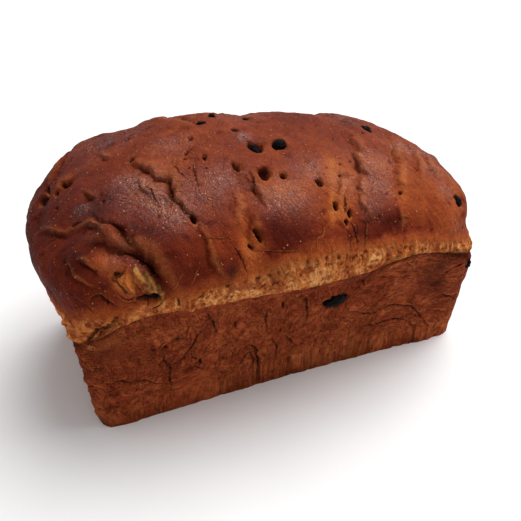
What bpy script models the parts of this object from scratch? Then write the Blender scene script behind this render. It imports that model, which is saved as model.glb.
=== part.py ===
"""A tin loaf with raisins: a tapered base shaped by the tin, a pale torn band and a domed, folded crown.

The loaf lies along X with its shown side to -Y. The origin is the middle of its flat base.
"""

import math

import bmesh
import bpy
import numpy as np
from mathutils import Matrix, Vector, noise

# The tin: half sizes of the base, how far its walls lean out for each metre of height, and how far the
# long walls have shrunk in from it at the middle of the base, up to a height
BASE_HALF_LENGTH = 0.113
BASE_HALF_WIDTH = 0.0505
END_FLARE = 0.07
SIDE_FLARE = 0.132
SHRINK = 0.0045
SHRINK_TOP = 0.078
BASE_EDGE = 0.005
CORNER = 0.009
CORNER_GROWTH = 0.16

# The crown: its reach from the middle, and how round it is in plan and in section
REACH_LEFT = 0.1275
REACH_RIGHT = 0.118
REACH_FRONT = 0.071
REACH_BACK = 0.0725
PLAN_POWER = 3.0
RISE_POWER = 2.15
SWELL_POWER = 1.8

# Heights every STATION_STEP from the left end to the right: the tear at the tin's rim, the crown's
# widest level, its crest, and both edges of the pale torn band
STATION_STEP = 0.03
TEAR = (0.066, 0.083, 0.0805, 0.078, 0.076, 0.075, 0.080, 0.074, 0.058)
CHEEK = (0.097, 0.107, 0.100, 0.095, 0.091, 0.088, 0.088, 0.087, 0.086)
CREST = (0.125, 0.132, 0.138, 0.140, 0.136, 0.132, 0.128, 0.124, 0.126)
BAND_FOOT = (0.066, 0.087, 0.089, 0.0905, 0.0885, 0.0888, 0.090, 0.0775, 0.064)
BAND_TOP = (0.0835, 0.096, 0.102, 0.1035, 0.107, 0.1027, 0.0985, 0.086, 0.072)

# The mesh: a box of cells whose points are sent out from the heart onto the crust
HEART = np.array((0.0, 0.0, 0.062))
BOX = np.array((0.118, 0.064, 0.062))
CELLS = (44, 23, 22)
HALVINGS = 24

# Folds in the crown: width and depth of the groove, height of the lip on its left as it runs, and its
# course on the crust
FOLDS = (
    ("long crease", 0.0060, 0.0048, 0.0030,
     ((-0.072, 0.002, 0.131), (-0.059, -0.022, 0.134), (-0.053, -0.046, 0.129),
      (-0.048, -0.065, 0.113), (-0.045, -0.070, 0.100))),
    ("middle valley", 0.0075, 0.0045, 0.0015,
     ((0.000, 0.034, 0.129), (-0.008, -0.004, 0.137), (-0.020, -0.044, 0.131),
      (-0.022, -0.062, 0.117), (-0.025, -0.070, 0.102))),
    ("right step", 0.0065, 0.0036, 0.0022,
     ((0.062, 0.030, 0.119), (0.046, -0.016, 0.127), (0.036, -0.045, 0.121), (0.031, -0.066, 0.106))),
    ("right valley", 0.0075, 0.0030, 0.0010,
     ((0.078, 0.024, 0.114), (0.066, -0.027, 0.120), (0.057, -0.062, 0.106))),
    ("shoulder fold", 0.0060, 0.0038, 0.0022,
     ((-0.103, -0.022, 0.119), (-0.094, -0.030, 0.122), (-0.087, -0.045, 0.123),
      (-0.082, -0.055, 0.119))),
    ("corner fold", 0.0070, 0.0078, 0.0028,
     ((-0.114, -0.026, 0.110), (-0.101, -0.039, 0.118), (-0.091, -0.051, 0.119),
      (-0.081, -0.061, 0.115), (-0.074, -0.066, 0.100))),
    ("left end dent", 0.0065, 0.0030, 0.0010,
     ((-0.120, 0.034, 0.098), (-0.112, 0.018, 0.113), (-0.102, 0.014, 0.120))),
    ("back crease", 0.0065, 0.0040, 0.0022,
     ((-0.030, 0.020, 0.138), (-0.042, 0.045, 0.129), (-0.040, 0.068, 0.104))),
    ("back valley", 0.0075, 0.0034, 0.0012,
     ((0.052, 0.018, 0.124), (0.046, 0.050, 0.119), (0.050, 0.070, 0.098))),
)

# Broad swellings and dips of the crust: radius, height and place
SWELLINGS = (
    (0.022, 0.0042, (-0.096, -0.056, 0.106)),
    (0.009, -0.0048, (-0.103, -0.055, 0.106)),
    (0.016, 0.0018, (-0.052, 0.018, 0.137)),
    (0.014, 0.0016, (-0.024, 0.028, 0.134)),
    (0.022, 0.0018, (0.026, 0.020, 0.131)),
    (0.012, 0.0014, (0.052, 0.022, 0.124)),
    (0.024, -0.0020, (0.100, 0.030, 0.106)),
    (0.020, -0.0022, (-0.100, 0.036, 0.116)),
    (0.022, 0.0020, (0.006, -0.060, 0.112)),
    (0.020, 0.0018, (0.086, 0.055, 0.098)),
    (0.020, 0.0020, (-0.082, 0.058, 0.108)),
)

# Open pits in the crust: width, length, depth, place, and how far the long side is turned from level
PITS = (
    (0.0064, 0.0116, 0.0060, (-0.008, -0.030, 0.134), 85),
    (0.0044, 0.0066, 0.0045, (0.000, -0.032, 0.132), 110),
    (0.0052, 0.0084, 0.0048, (0.016, -0.039, 0.127), 125),
    (0.0036, 0.0078, 0.0040, (0.020, -0.052, 0.121), 110),
    (0.0032, 0.0074, 0.0040, (0.025, -0.056, 0.117), 105),
    (0.0046, 0.0120, 0.0062, (-0.024, -0.061, 0.120), 110),
    (0.0040, 0.0084, 0.0042, (-0.052, -0.048, 0.128), 115),
    (0.0050, 0.0062, 0.0038, (-0.021, -0.023, 0.137), 40),
    (0.0046, 0.0052, 0.0036, (-0.044, -0.003, 0.138), 90),
    (0.0060, 0.0050, 0.0036, (-0.093, -0.027, 0.124), 0),
    (0.0044, 0.0072, 0.0036, (-0.067, 0.028, 0.131), 20),
    (0.0048, 0.0090, 0.0044, (-0.108, 0.013, 0.116), 40),
    (0.0056, 0.0080, 0.0046, (0.030, 0.052, 0.119), 60),
    (0.0046, 0.0070, 0.0040, (-0.060, 0.062, 0.112), 80),
)

# Raisins: length, width, thickness, how deep the middle lies, place, and turn of the long side
RAISINS = (
    (0.0140, 0.0096, 0.0060, 0.0022, (0.024, -0.059, 0.059), 14),
    (0.0104, 0.0064, 0.0064, 0.0032, (-0.006, -0.007, 0.137), 100),
    (0.0080, 0.0066, 0.0060, 0.0028, (0.007, -0.008, 0.135), 40),
    (0.0076, 0.0068, 0.0044, 0.0012, (0.074, 0.018, 0.119), 0),
    (0.0040, 0.0036, 0.0036, 0.0006, (0.000, 0.026, 0.134), 30),
    (0.0050, 0.0032, 0.0030, 0.0008, (-0.027, 0.021, 0.138), 0),
    (0.0040, 0.0034, 0.0030, 0.0008, (-0.018, 0.030, 0.135), 50),
    (0.0052, 0.0040, 0.0036, 0.0012, (-0.012, 0.009, 0.138), 60),
    (0.0070, 0.0056, 0.0050, 0.0022, (-0.114, 0.018, 0.110), 50),
    (0.0070, 0.0060, 0.0050, 0.0020, (0.101, -0.043, 0.099), 80),
    (0.0110, 0.0036, 0.0040, 0.0014, (-0.079, -0.064, 0.101), -18),
    (0.0066, 0.0046, 0.0044, 0.0016, (0.109, -0.055, 0.060), 80),
    (0.0110, 0.0080, 0.0060, 0.0020, (-0.044, 0.058, 0.036), 35),
    (0.0096, 0.0074, 0.0056, 0.0020, (0.067, 0.060, 0.058), -20),
    (0.0100, 0.0078, 0.0058, 0.0022, (0.012, 0.066, 0.109), 70),
    (0.0090, 0.0070, 0.0056, 0.0018, (0.118, 0.020, 0.040), 60),
    (0.0094, 0.0076, 0.0056, 0.0020, (-0.117, -0.014, 0.050), -30),
    (0.0086, 0.0066, 0.0052, 0.0018, (0.086, 0.056, 0.098), 10),
)
RAISIN_GAP = 0.00045
POCKET_SPREAD = 1.08
RAISIN_WRINKLE = 0.06
SEED_SPREAD = 7.3

CRUST_BROWN = (0.155, 0.036, 0.014, 1.0)
BAND_TAN = (0.420, 0.150, 0.048, 1.0)
RAISIN_BLACK = (0.012, 0.008, 0.008, 1.0)


def along(x, heights):
    """A smooth line through heights that stand STATION_STEP apart, centred on the loaf's middle."""
    heights = np.asarray(heights)
    spans = len(heights) - 1
    held = np.concatenate(([2 * heights[0] - heights[1]], heights, [2 * heights[-1] - heights[-2]] * 2))
    at = np.clip(x / STATION_STEP + spans / 2, 0, spans)
    span = at.astype(int)
    t = at - span
    a, b, c, d = (held[span + step] for step in range(4))
    return b + 0.5 * t * (c - a + t * (2 * a - 5 * b + 4 * c - d + t * (3 * (b - c) + d - a)))


def rounded_corner(first, second, radius):
    """The distance outside two walls that meet, with their corner rounded."""
    first = first + radius
    second = second + radius
    corner = np.hypot(np.maximum(first, 0), np.maximum(second, 0))
    return corner + np.minimum(np.maximum(first, second), 0) - radius


def tin_walls(x, y, z):
    """How far a place lies outside the tapered tin."""
    end = np.abs(x) - BASE_HALF_LENGTH - END_FLARE * z
    drawn_in = np.clip(1 - (x / BASE_HALF_LENGTH) ** 2, 0, 1) * np.clip(1 - z / SHRINK_TOP, 0, 1)
    side = np.abs(y) - BASE_HALF_WIDTH - SIDE_FLARE * z + SHRINK * drawn_in
    walls = rounded_corner(end, side, CORNER + CORNER_GROWTH * np.maximum(z, 0))
    return rounded_corner(walls, -z, BASE_EDGE)


def crown(x, y, z, cheek):
    """How far a place lies outside the dome above the crown's widest level."""
    reach_x = np.where(x < 0, REACH_LEFT, REACH_RIGHT)
    reach_y = np.where(y < 0, REACH_FRONT, REACH_BACK)
    plan = ((np.abs(x) / reach_x) ** PLAN_POWER + (np.abs(y) / reach_y) ** PLAN_POWER) ** (1 / PLAN_POWER)
    rise = np.maximum(z - cheek, 0) / (along(x, CREST) - cheek)
    return REACH_FRONT * ((plan**RISE_POWER + rise**RISE_POWER) ** (1 / RISE_POWER) - 1)


def outside(places):
    """How far places lie outside the loaf: the tin below the tear, the dome above the cheek."""
    x, y, z = places.T
    tear = along(x, TEAR)
    cheek = along(x, CHEEK)
    up = np.clip((z - tear) / (cheek - tear), 0, 1)
    swell = 1 - (1 - up) ** SWELL_POWER
    return (1 - swell) * tin_walls(x, y, z) + swell * crown(x, y, z, cheek)


def on_crust(directions):
    """Goes from the heart in each direction until the crust, by halving."""
    near = np.zeros(len(directions))
    far = np.full(len(directions), 2.0)
    for _ in range(HALVINGS):
        middle = (near + far) / 2
        inside = outside(HEART + directions * middle[:, None]) < 0
        near = np.where(inside, middle, near)
        far = np.where(inside, far, middle)
    return HEART + directions * far[:, None]


def crust_normals(places, step=0.0003):
    """The outward normal of the crust at each place."""
    slopes = np.empty_like(places)
    for axis in range(3):
        shift = np.zeros(3)
        shift[axis] = step
        slopes[:, axis] = outside(places + shift) - outside(places - shift)
    return slopes / np.linalg.norm(slopes, axis=1)[:, None]


def settle(points):
    """Moves hand-set points along their rays from the heart onto the crust."""
    return on_crust(np.asarray(points, float) - HEART)


def smooth_course(points, per_span=10):
    """A smooth course on the crust through a few points."""
    points = np.asarray(points, float)
    held = np.concatenate(([2 * points[0] - points[1]], points, [2 * points[-1] - points[-2]]))
    course = []
    for a, b, c, d in zip(held, held[1:], held[2:], held[3:]):
        for t in np.arange(per_span) / per_span:
            bend = 2 * a - 5 * b + 4 * c - d + t * (3 * (b - c) + d - a)
            course.append(b + 0.5 * t * (c - a + t * bend))
    course.append(points[-1])
    return settle(course)


def fold_relief(places, normals, width, depth, lip, points):
    """A groove along a course, with the dough on its left raised into a lip, fading at both ends."""
    course = smooth_course(points)
    runs = np.gradient(course, axis=0)
    runs /= np.linalg.norm(runs, axis=1)[:, None]
    gaps = np.linalg.norm(places[:, None, :] - course[None, :, :], axis=2)
    nearest = gaps.argmin(axis=1)
    left = np.cross(normals, runs[nearest])
    across = ((places - course[nearest]) * left).sum(axis=1)
    gap = gaps[np.arange(len(places)), nearest]
    side = np.where(across < 0, -gap, gap)
    fade = np.sin(math.pi * (nearest + 1) / (len(course) + 1)) ** 0.5
    groove = depth * np.exp(-((side / width) ** 2))
    raised = lip * np.exp(-(((side - 2.2 * width) / (1.8 * width)) ** 2))
    return fade * (raised - groove)


def relief(places, normals):
    """The height of all folds and swellings over the plain form."""
    height = np.zeros(len(places))
    for _, width, depth, lip, points in FOLDS:
        height += fold_relief(places, normals, width, depth, lip, points)
    for radius, lift, point in SWELLINGS:
        gap = np.linalg.norm(places - settle([point]), axis=1)
        height += lift * np.exp(-((gap / radius) ** 2))
    return height


def set_on_crust(point):
    """A place on the finished crust and its outward normal."""
    place = settle([point])
    normal = crust_normals(place)
    place = place + normal * relief(place, normal)[:, None]
    return Vector(place[0]), Vector(normal[0])


def material(name, colour, roughness):
    made = bpy.data.materials.new(name)
    made.use_nodes = True
    shader = made.node_tree.nodes["Principled BSDF"]
    shader.inputs["Base Color"].default_value = colour
    shader.inputs["Roughness"].default_value = roughness
    shader.inputs["Metallic"].default_value = 0.0
    made.diffuse_color = colour
    return made


def add_object(name, mesh, collection, materials=()):
    obj = bpy.data.objects.new(name, mesh)
    for each in materials:
        mesh.materials.append(each)
    collection.objects.link(obj)
    return obj


def celled_box(cells):
    """A closed box from -1 to 1 whose faces are cut into cells along X, Y and Z."""
    box = bmesh.new()
    bmesh.ops.create_cube(box, size=2)
    for axis, count in enumerate(cells):
        lengthwise = []
        for edge in box.edges:
            run = edge.verts[1].co - edge.verts[0].co
            if abs(run[axis]) > 0.5 * run.length:
                lengthwise.append(edge)
        bmesh.ops.subdivide_edges(box, edges=lengthwise, cuts=count - 1)
    return box


def make_loaf(collection, crust, band):
    """The whole loaf as one solid with a flat base."""
    box = celled_box(CELLS)
    spread = np.array([vertex.co for vertex in box.verts])
    places = on_crust(spread * BOX)
    normals = crust_normals(places)
    places += normals * relief(places, normals)[:, None]
    floor = spread[:, 2] < -1 + 1e-6
    places[floor | (places[:, 2] < 1e-6), 2] = 0
    for vertex, place in zip(box.verts, places):
        vertex.co = place
    underside = [face for face in box.faces if all(vertex.co.z == 0 for vertex in face.verts)]
    bmesh.ops.dissolve_faces(box, faces=underside, use_verts=False)
    mesh = bpy.data.meshes.new("loaf")
    box.to_mesh(mesh)
    box.free()
    mesh.shade_smooth()
    loaf = add_object("loaf", mesh, collection, (crust, band))
    for face in mesh.polygons:
        x, _, z = face.center
        station = np.array([x])
        in_band = along(station, BAND_FOOT)[0] < z < along(station, BAND_TOP)[0]
        face.material_index = 1 if in_band else 0
    return loaf


def standing_on(place, normal, turn):
    """The frame of a thing on the crust: Z out of it, and X turned from level by an angle in degrees."""
    level = Vector((0, 0, 1)).cross(normal)
    if level.length < 0.2:
        level = Vector((1, 0, 0))
    level = (level - normal * level.dot(normal)).normalized()
    frame = Matrix((level, normal.cross(level), normal)).transposed().to_4x4()
    return Matrix.Translation(place) @ frame @ Matrix.Rotation(math.radians(turn), 4, "Z")


def ball(name, semi_axes, frame, wrinkle=0.0, seed=0.0):
    """A closed ball of the given half sizes, its surface pulled in along wrinkles."""
    shape = bmesh.new()
    bmesh.ops.create_icosphere(shape, subdivisions=2, radius=1.0)
    for vertex in shape.verts:
        dent = abs(noise.noise(Vector((2.4, 1.2, 1.2)) * vertex.co * 1.6 + Vector((seed, 0, 0))))
        shrunk = vertex.co * (1 - wrinkle * 4 * dent)
        vertex.co = frame @ Vector(side * half for side, half in zip(shrunk, semi_axes))
    mesh = bpy.data.meshes.new(name)
    shape.to_mesh(mesh)
    shape.free()
    mesh.shade_smooth()
    return mesh


def add_cutter(name, mesh, cutters):
    cutter = add_object(name, mesh, cutters)
    cutter.hide_render = True
    cutter.display_type = "WIRE"


def cut_pits(cutters):
    for number, (width, length, depth, point, turn) in enumerate(PITS, 1):
        place, normal = set_on_crust(point)
        frame = standing_on(place, normal, turn)
        add_cutter(f"pit_{number}", ball("pit", (length / 2, width / 2, depth), frame), cutters)


def make_raisins(collection, cutters, dark):
    """Each raisin lies in a pocket of its own shape, a little larger than it."""
    for number, (length, width, thickness, sink, point, turn) in enumerate(RAISINS, 1):
        place, normal = set_on_crust(point)
        frame = standing_on(place - normal * sink, normal, turn)
        half = (length / 2, width / 2, thickness / 2)
        body = ball("raisin", half, frame, RAISIN_WRINKLE, number * SEED_SPREAD)
        add_object(f"raisin_{number}", body, collection, (dark,))
        pocket = [side * POCKET_SPREAD + RAISIN_GAP for side in half]
        pocket[2] += sink / 2
        rim = standing_on(place - normal * sink / 2, normal, turn)
        add_cutter(f"pocket_{number}", ball("pocket", pocket, rim), cutters)


def build():
    for obj in list(bpy.data.objects):
        bpy.data.objects.remove(obj)
    parts = bpy.data.collections.new("tin_loaf")
    cutters = bpy.data.collections.new("cutters")
    for collection in (parts, cutters):
        bpy.context.scene.collection.children.link(collection)
    crust = material("crust", CRUST_BROWN, 0.42)
    band = material("torn_band", BAND_TAN, 0.85)
    dark = material("raisin", RAISIN_BLACK, 0.5)
    loaf = make_loaf(parts, crust, band)
    make_raisins(parts, cutters, dark)
    cut_pits(cutters)
    hollows = loaf.modifiers.new("hollows", "BOOLEAN")
    hollows.operation = "DIFFERENCE"
    hollows.operand_type = "COLLECTION"
    hollows.collection = cutters
    hollows.solver = "EXACT"


build()
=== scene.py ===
"""The looks of a raisin tin loaf: its finely folded crust, the raisins, and a plain studio round them.

The loaf lies along X with its shown side to -Y. The origin is the middle of its flat base.
"""

import math

import bmesh
import bpy
import numpy as np
from mathutils import Matrix, Vector, noise


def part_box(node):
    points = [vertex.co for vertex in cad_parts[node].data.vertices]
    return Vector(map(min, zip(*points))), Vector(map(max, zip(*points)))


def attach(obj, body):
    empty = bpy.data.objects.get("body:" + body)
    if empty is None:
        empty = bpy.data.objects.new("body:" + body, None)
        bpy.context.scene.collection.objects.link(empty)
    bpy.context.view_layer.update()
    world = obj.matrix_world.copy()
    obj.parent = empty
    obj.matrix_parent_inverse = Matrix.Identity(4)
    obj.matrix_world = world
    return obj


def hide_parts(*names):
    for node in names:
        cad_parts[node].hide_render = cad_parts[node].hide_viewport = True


MM = 0.001

# The tin: half sizes of the base, how far its walls lean out for each metre of height, and how far the
# long walls have shrunk in from it at the middle of the base, up to a height
BASE_HALF_LENGTH = 0.113
BASE_HALF_WIDTH = 0.0505
END_FLARE = 0.07
SIDE_FLARE = 0.132
SHRINK = 0.0045
SHRINK_TOP = 0.078
BASE_EDGE = 0.005
CORNER = 0.009
CORNER_GROWTH = 0.16

# The crown: its reach from the middle, and how round it is in plan and in section
REACH_LEFT = 0.1275
REACH_RIGHT = 0.118
REACH_FRONT = 0.071
REACH_BACK = 0.0725
PLAN_POWER = 3.0
RISE_POWER = 2.15
SWELL_POWER = 1.8

# Heights every STATION_STEP from the left end to the right: the tear at the tin's rim, the crown's
# widest level, its crest, and both edges of the pale torn band
STATION_STEP = 0.03
TEAR = (0.066, 0.083, 0.0805, 0.078, 0.076, 0.075, 0.080, 0.074, 0.058)
CHEEK = (0.097, 0.107, 0.100, 0.095, 0.091, 0.088, 0.088, 0.087, 0.086)
CREST = (0.125, 0.132, 0.138, 0.140, 0.136, 0.132, 0.128, 0.124, 0.126)
BAND_FOOT = (0.066, 0.087, 0.089, 0.0905, 0.0885, 0.0888, 0.090, 0.0775, 0.064)
BAND_TOP = (0.0835, 0.096, 0.102, 0.1035, 0.107, 0.1027, 0.0985, 0.086, 0.072)

# The camera that the photograph's outline was fitted to: where it stands, which way it looks in radians,
# and its lens over a sensor as wide as the square photograph
EYE = np.array((-0.1213, -0.3114, 0.3212))
AZIMUTH = 0.3721
ELEVATION = 0.679
ROLL = 0.0129
LENS = 49.32
SENSOR = 36
PHOTO_SIDE = 521
PHOTO_FOCAL = LENS / SENSOR * PHOTO_SIDE
PHOTO_MIDDLE = PHOTO_SIDE / 2

# The mesh: a box of cells whose points are sent out from the heart onto the crust, which is found by
# halving. It lies a little under the plain form, so that its relief stays inside the CAD model's box
HEART = np.array((0.0, 0.0, 0.062))
BOX = np.array((0.118, 0.064, 0.062))
CELLS = (86, 45, 43)
HALVINGS = 24
UNDER_SKIN = 0.0002
TINY = 1e-6

# How far from a fold, a seam or a pit the mesh is cut finer, as parts of their width and then in metres
FOLD_REACH = 1.6
SEAM_REACH = 1.5
PIT_REACH = 0.65
DETAIL_SPARE = 0.0012

# The sight lines from the camera: from where to where they look for the loaf, and in which steps
SIGHT_NEAR = 0.22
SIGHT_FAR = 0.62
SIGHT_STEP = 0.002
SIGHT_HALVINGS = 12

# In all tables below, two numbers are a pixel of the photograph, across and down, and three are a place.

# Folds in the crown: width and depth of the groove, height of the lip on its left as it runs, how far
# that lip leans over the groove, how much shade is painted into the groove, and its course on the crust
FOLDS = (
    ("crease head", 0.0028, 0.0024, 0.0018, 0.0008, 0.75, ((127, 163), (139, 166), (147, 170), (152, 175))),
    ("crease middle", 0.0030, 0.0034, 0.0022, 0.0014, 0.95,
     ((150, 176), (163, 178), (171.7, 184), (174, 190), (171.7, 197))),
    ("crease line", 0.0018, 0.0014, 0.0012, 0.0004, 0.80, ((172, 193), (178, 201), (184, 209), (191, 216))),
    ("crease foot", 0.0018, 0.0010, 0.0010, 0.0003, 0.30,
     ((195, 222), (201, 231), (206, 240), (208, 252), (210, 263), (214, 270), (219, 279), (222, 284))),
    ("gloss wrinkle", 0.0020, 0.0016, 0.0014, 0.0006, 0.55, ((134, 181), (142, 187), (148, 193), (152, 200))),
    ("gloss edge", 0.0022, 0.0012, -0.0008, 0.0, 0.30,
     ((124, 196), (137.5, 205), (147.5, 209), (160, 212), (168, 221))),
    ("belly edge", 0.0024, 0.0020, 0.0014, 0.0008, 0.60, ((246, 178), (254, 185), (260, 197), (264, 206))),
    ("step wedge", 0.0026, 0.0030, 0.0018, 0.0012, 0.85, ((352, 149), (357, 159), (359, 167), (366, 175))),
    ("step shade", 0.0044, 0.0018, 0.0010, 0.0, 0.30, ((344, 130), (350, 139), (357, 147), (363, 153))),
    ("step edge", 0.0020, 0.0012, 0.0016, 0.0004, 0.12,
     ((360, 168), (359, 178), (360, 190), (361, 203), (364, 210), (369, 218))),
    ("shoulder fold", 0.0024, 0.0030, 0.0026, 0.0006, 0.95,
     ((140, 248), (133.6, 243.6), (128, 240), (122, 237), (117, 232), (109, 227), (101, 225), (92, 217))),
    ("shoulder groove", 0.0022, 0.0022, 0.0012, 0.0002, 0.90,
     ((75, 233), (85.5, 228), (93.6, 229.5), (101, 232.7), (108, 239))),
    ("corner fold", 0.0044, 0.0072, 0.0024, 0.0022, 0.95,
     ((90, 247), (100, 244.5), (111, 249), (121, 252.7), (133.6, 255.5), (145.5, 261), (151, 268),
      (154.5, 274.5), (160, 282), (165, 289), (169, 298))),
    ("left groove", 0.0024, 0.0016, 0.0012, 0.0, 0.60, ((38, 236), (50, 233), (62, 237), (72, 233))),
    ("left crumple", 0.0024, 0.0016, 0.0012, 0.0, 0.45, ((83, 191), (88, 197), (95, 197))),
    ("left end dent", 0.0036, 0.0030, 0.0014, 0.0008, 0.60, ((58, 190), (64, 183), (72, 178))),
    ("wrinkle by the bulge", 0.0018, 0.0016, 0.0012, 0.0004, 0.50,
     ((77, 263), (84.5, 267), (91, 271), (98, 277))),
    ("lower wrinkle", 0.0016, 0.0014, 0.0010, 0.0004, 0.50,
     ((68, 277), (75.5, 282), (83.6, 283.6), (92, 289))),
    ("dark wedge", 0.0018, 0.0014, 0.0008, 0.0, 0.55, ((95, 151), (102, 156), (110, 159))),
    ("valley edge", 0.0028, 0.0016, 0.0014, 0.0004, 0.16,
     ((231, 186), (235, 199), (234, 211), (239, 224))),
    ("second valley edge", 0.0024, 0.0014, 0.0012, 0.0004, 0.20,
     ((250, 214), (252, 225), (249, 236), (254, 246))),
    ("pit valley edge", 0.0024, 0.0012, 0.0012, 0.0004, 0.15, ((337, 170), (339, 184), (336, 196))),
    ("lobe streak", 0.0034, 0.0018, 0.0018, 0.0006, 0.12,
     ((388, 133), (393, 146), (398, 160), (397, 174), (401, 190))),
    ("second lobe streak", 0.0030, 0.0014, 0.0016, 0.0004, 0.10,
     ((404, 140), (413, 152), (418, 167), (420, 182))),
    ("third lobe streak", 0.0028, 0.0012, 0.0014, 0.0004, 0.10, ((420, 152), (429, 165), (433, 178))),
    ("lobe foot streak", 0.0024, 0.0012, 0.0010, 0.0002, 0.20, ((396, 204), (399, 216), (397, 228))),
    ("back crease", 0.0032, 0.0036, 0.0022, 0.0014, 0.80,
     ((-0.030, 0.022, 0.138), (-0.036, 0.034, 0.135), (-0.042, 0.046, 0.129), (-0.041, 0.060, 0.117),
      (-0.040, 0.069, 0.104))),
    ("back groove", 0.0024, 0.0020, 0.0012, 0.0004, 0.50,
     ((-0.104, 0.030, 0.112), (-0.096, 0.044, 0.112), (-0.084, 0.056, 0.108))),
)

# Soft valleys in the crown: width, depth, how pale they are, and their course
VALLEYS = (
    (0.0046, 0.0024, 0.30, ((232, 152), (237, 178), (241, 200), (244, 222), (248, 248), (252, 262))),
    (0.0046, 0.0012, 0.35, ((206, 190), (212, 212), (218, 232), (224, 252))),
    (0.0034, 0.0014, 0.30, ((331, 160), (333, 190), (332, 212), (334, 232))),
    (0.0044, 0.0022, 0.30, ((385, 132), (396, 152), (404, 170), (407, 198), (410, 224))),
    (0.0060, 0.0016, 0.30, ((158, 137), (168, 130), (178, 123))),
    (0.0050, 0.0014, 0.30, ((300, 150), (306, 165), (310, 182))),
    (0.0080, 0.0028, 0.45, ((0.052, 0.018, 0.124), (0.046, 0.050, 0.119), (0.050, 0.070, 0.098))),
    (0.0060, 0.0016, 0.40, ((0.006, 0.030, 0.131), (0.004, 0.050, 0.124), (0.008, 0.068, 0.104))),
)
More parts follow.
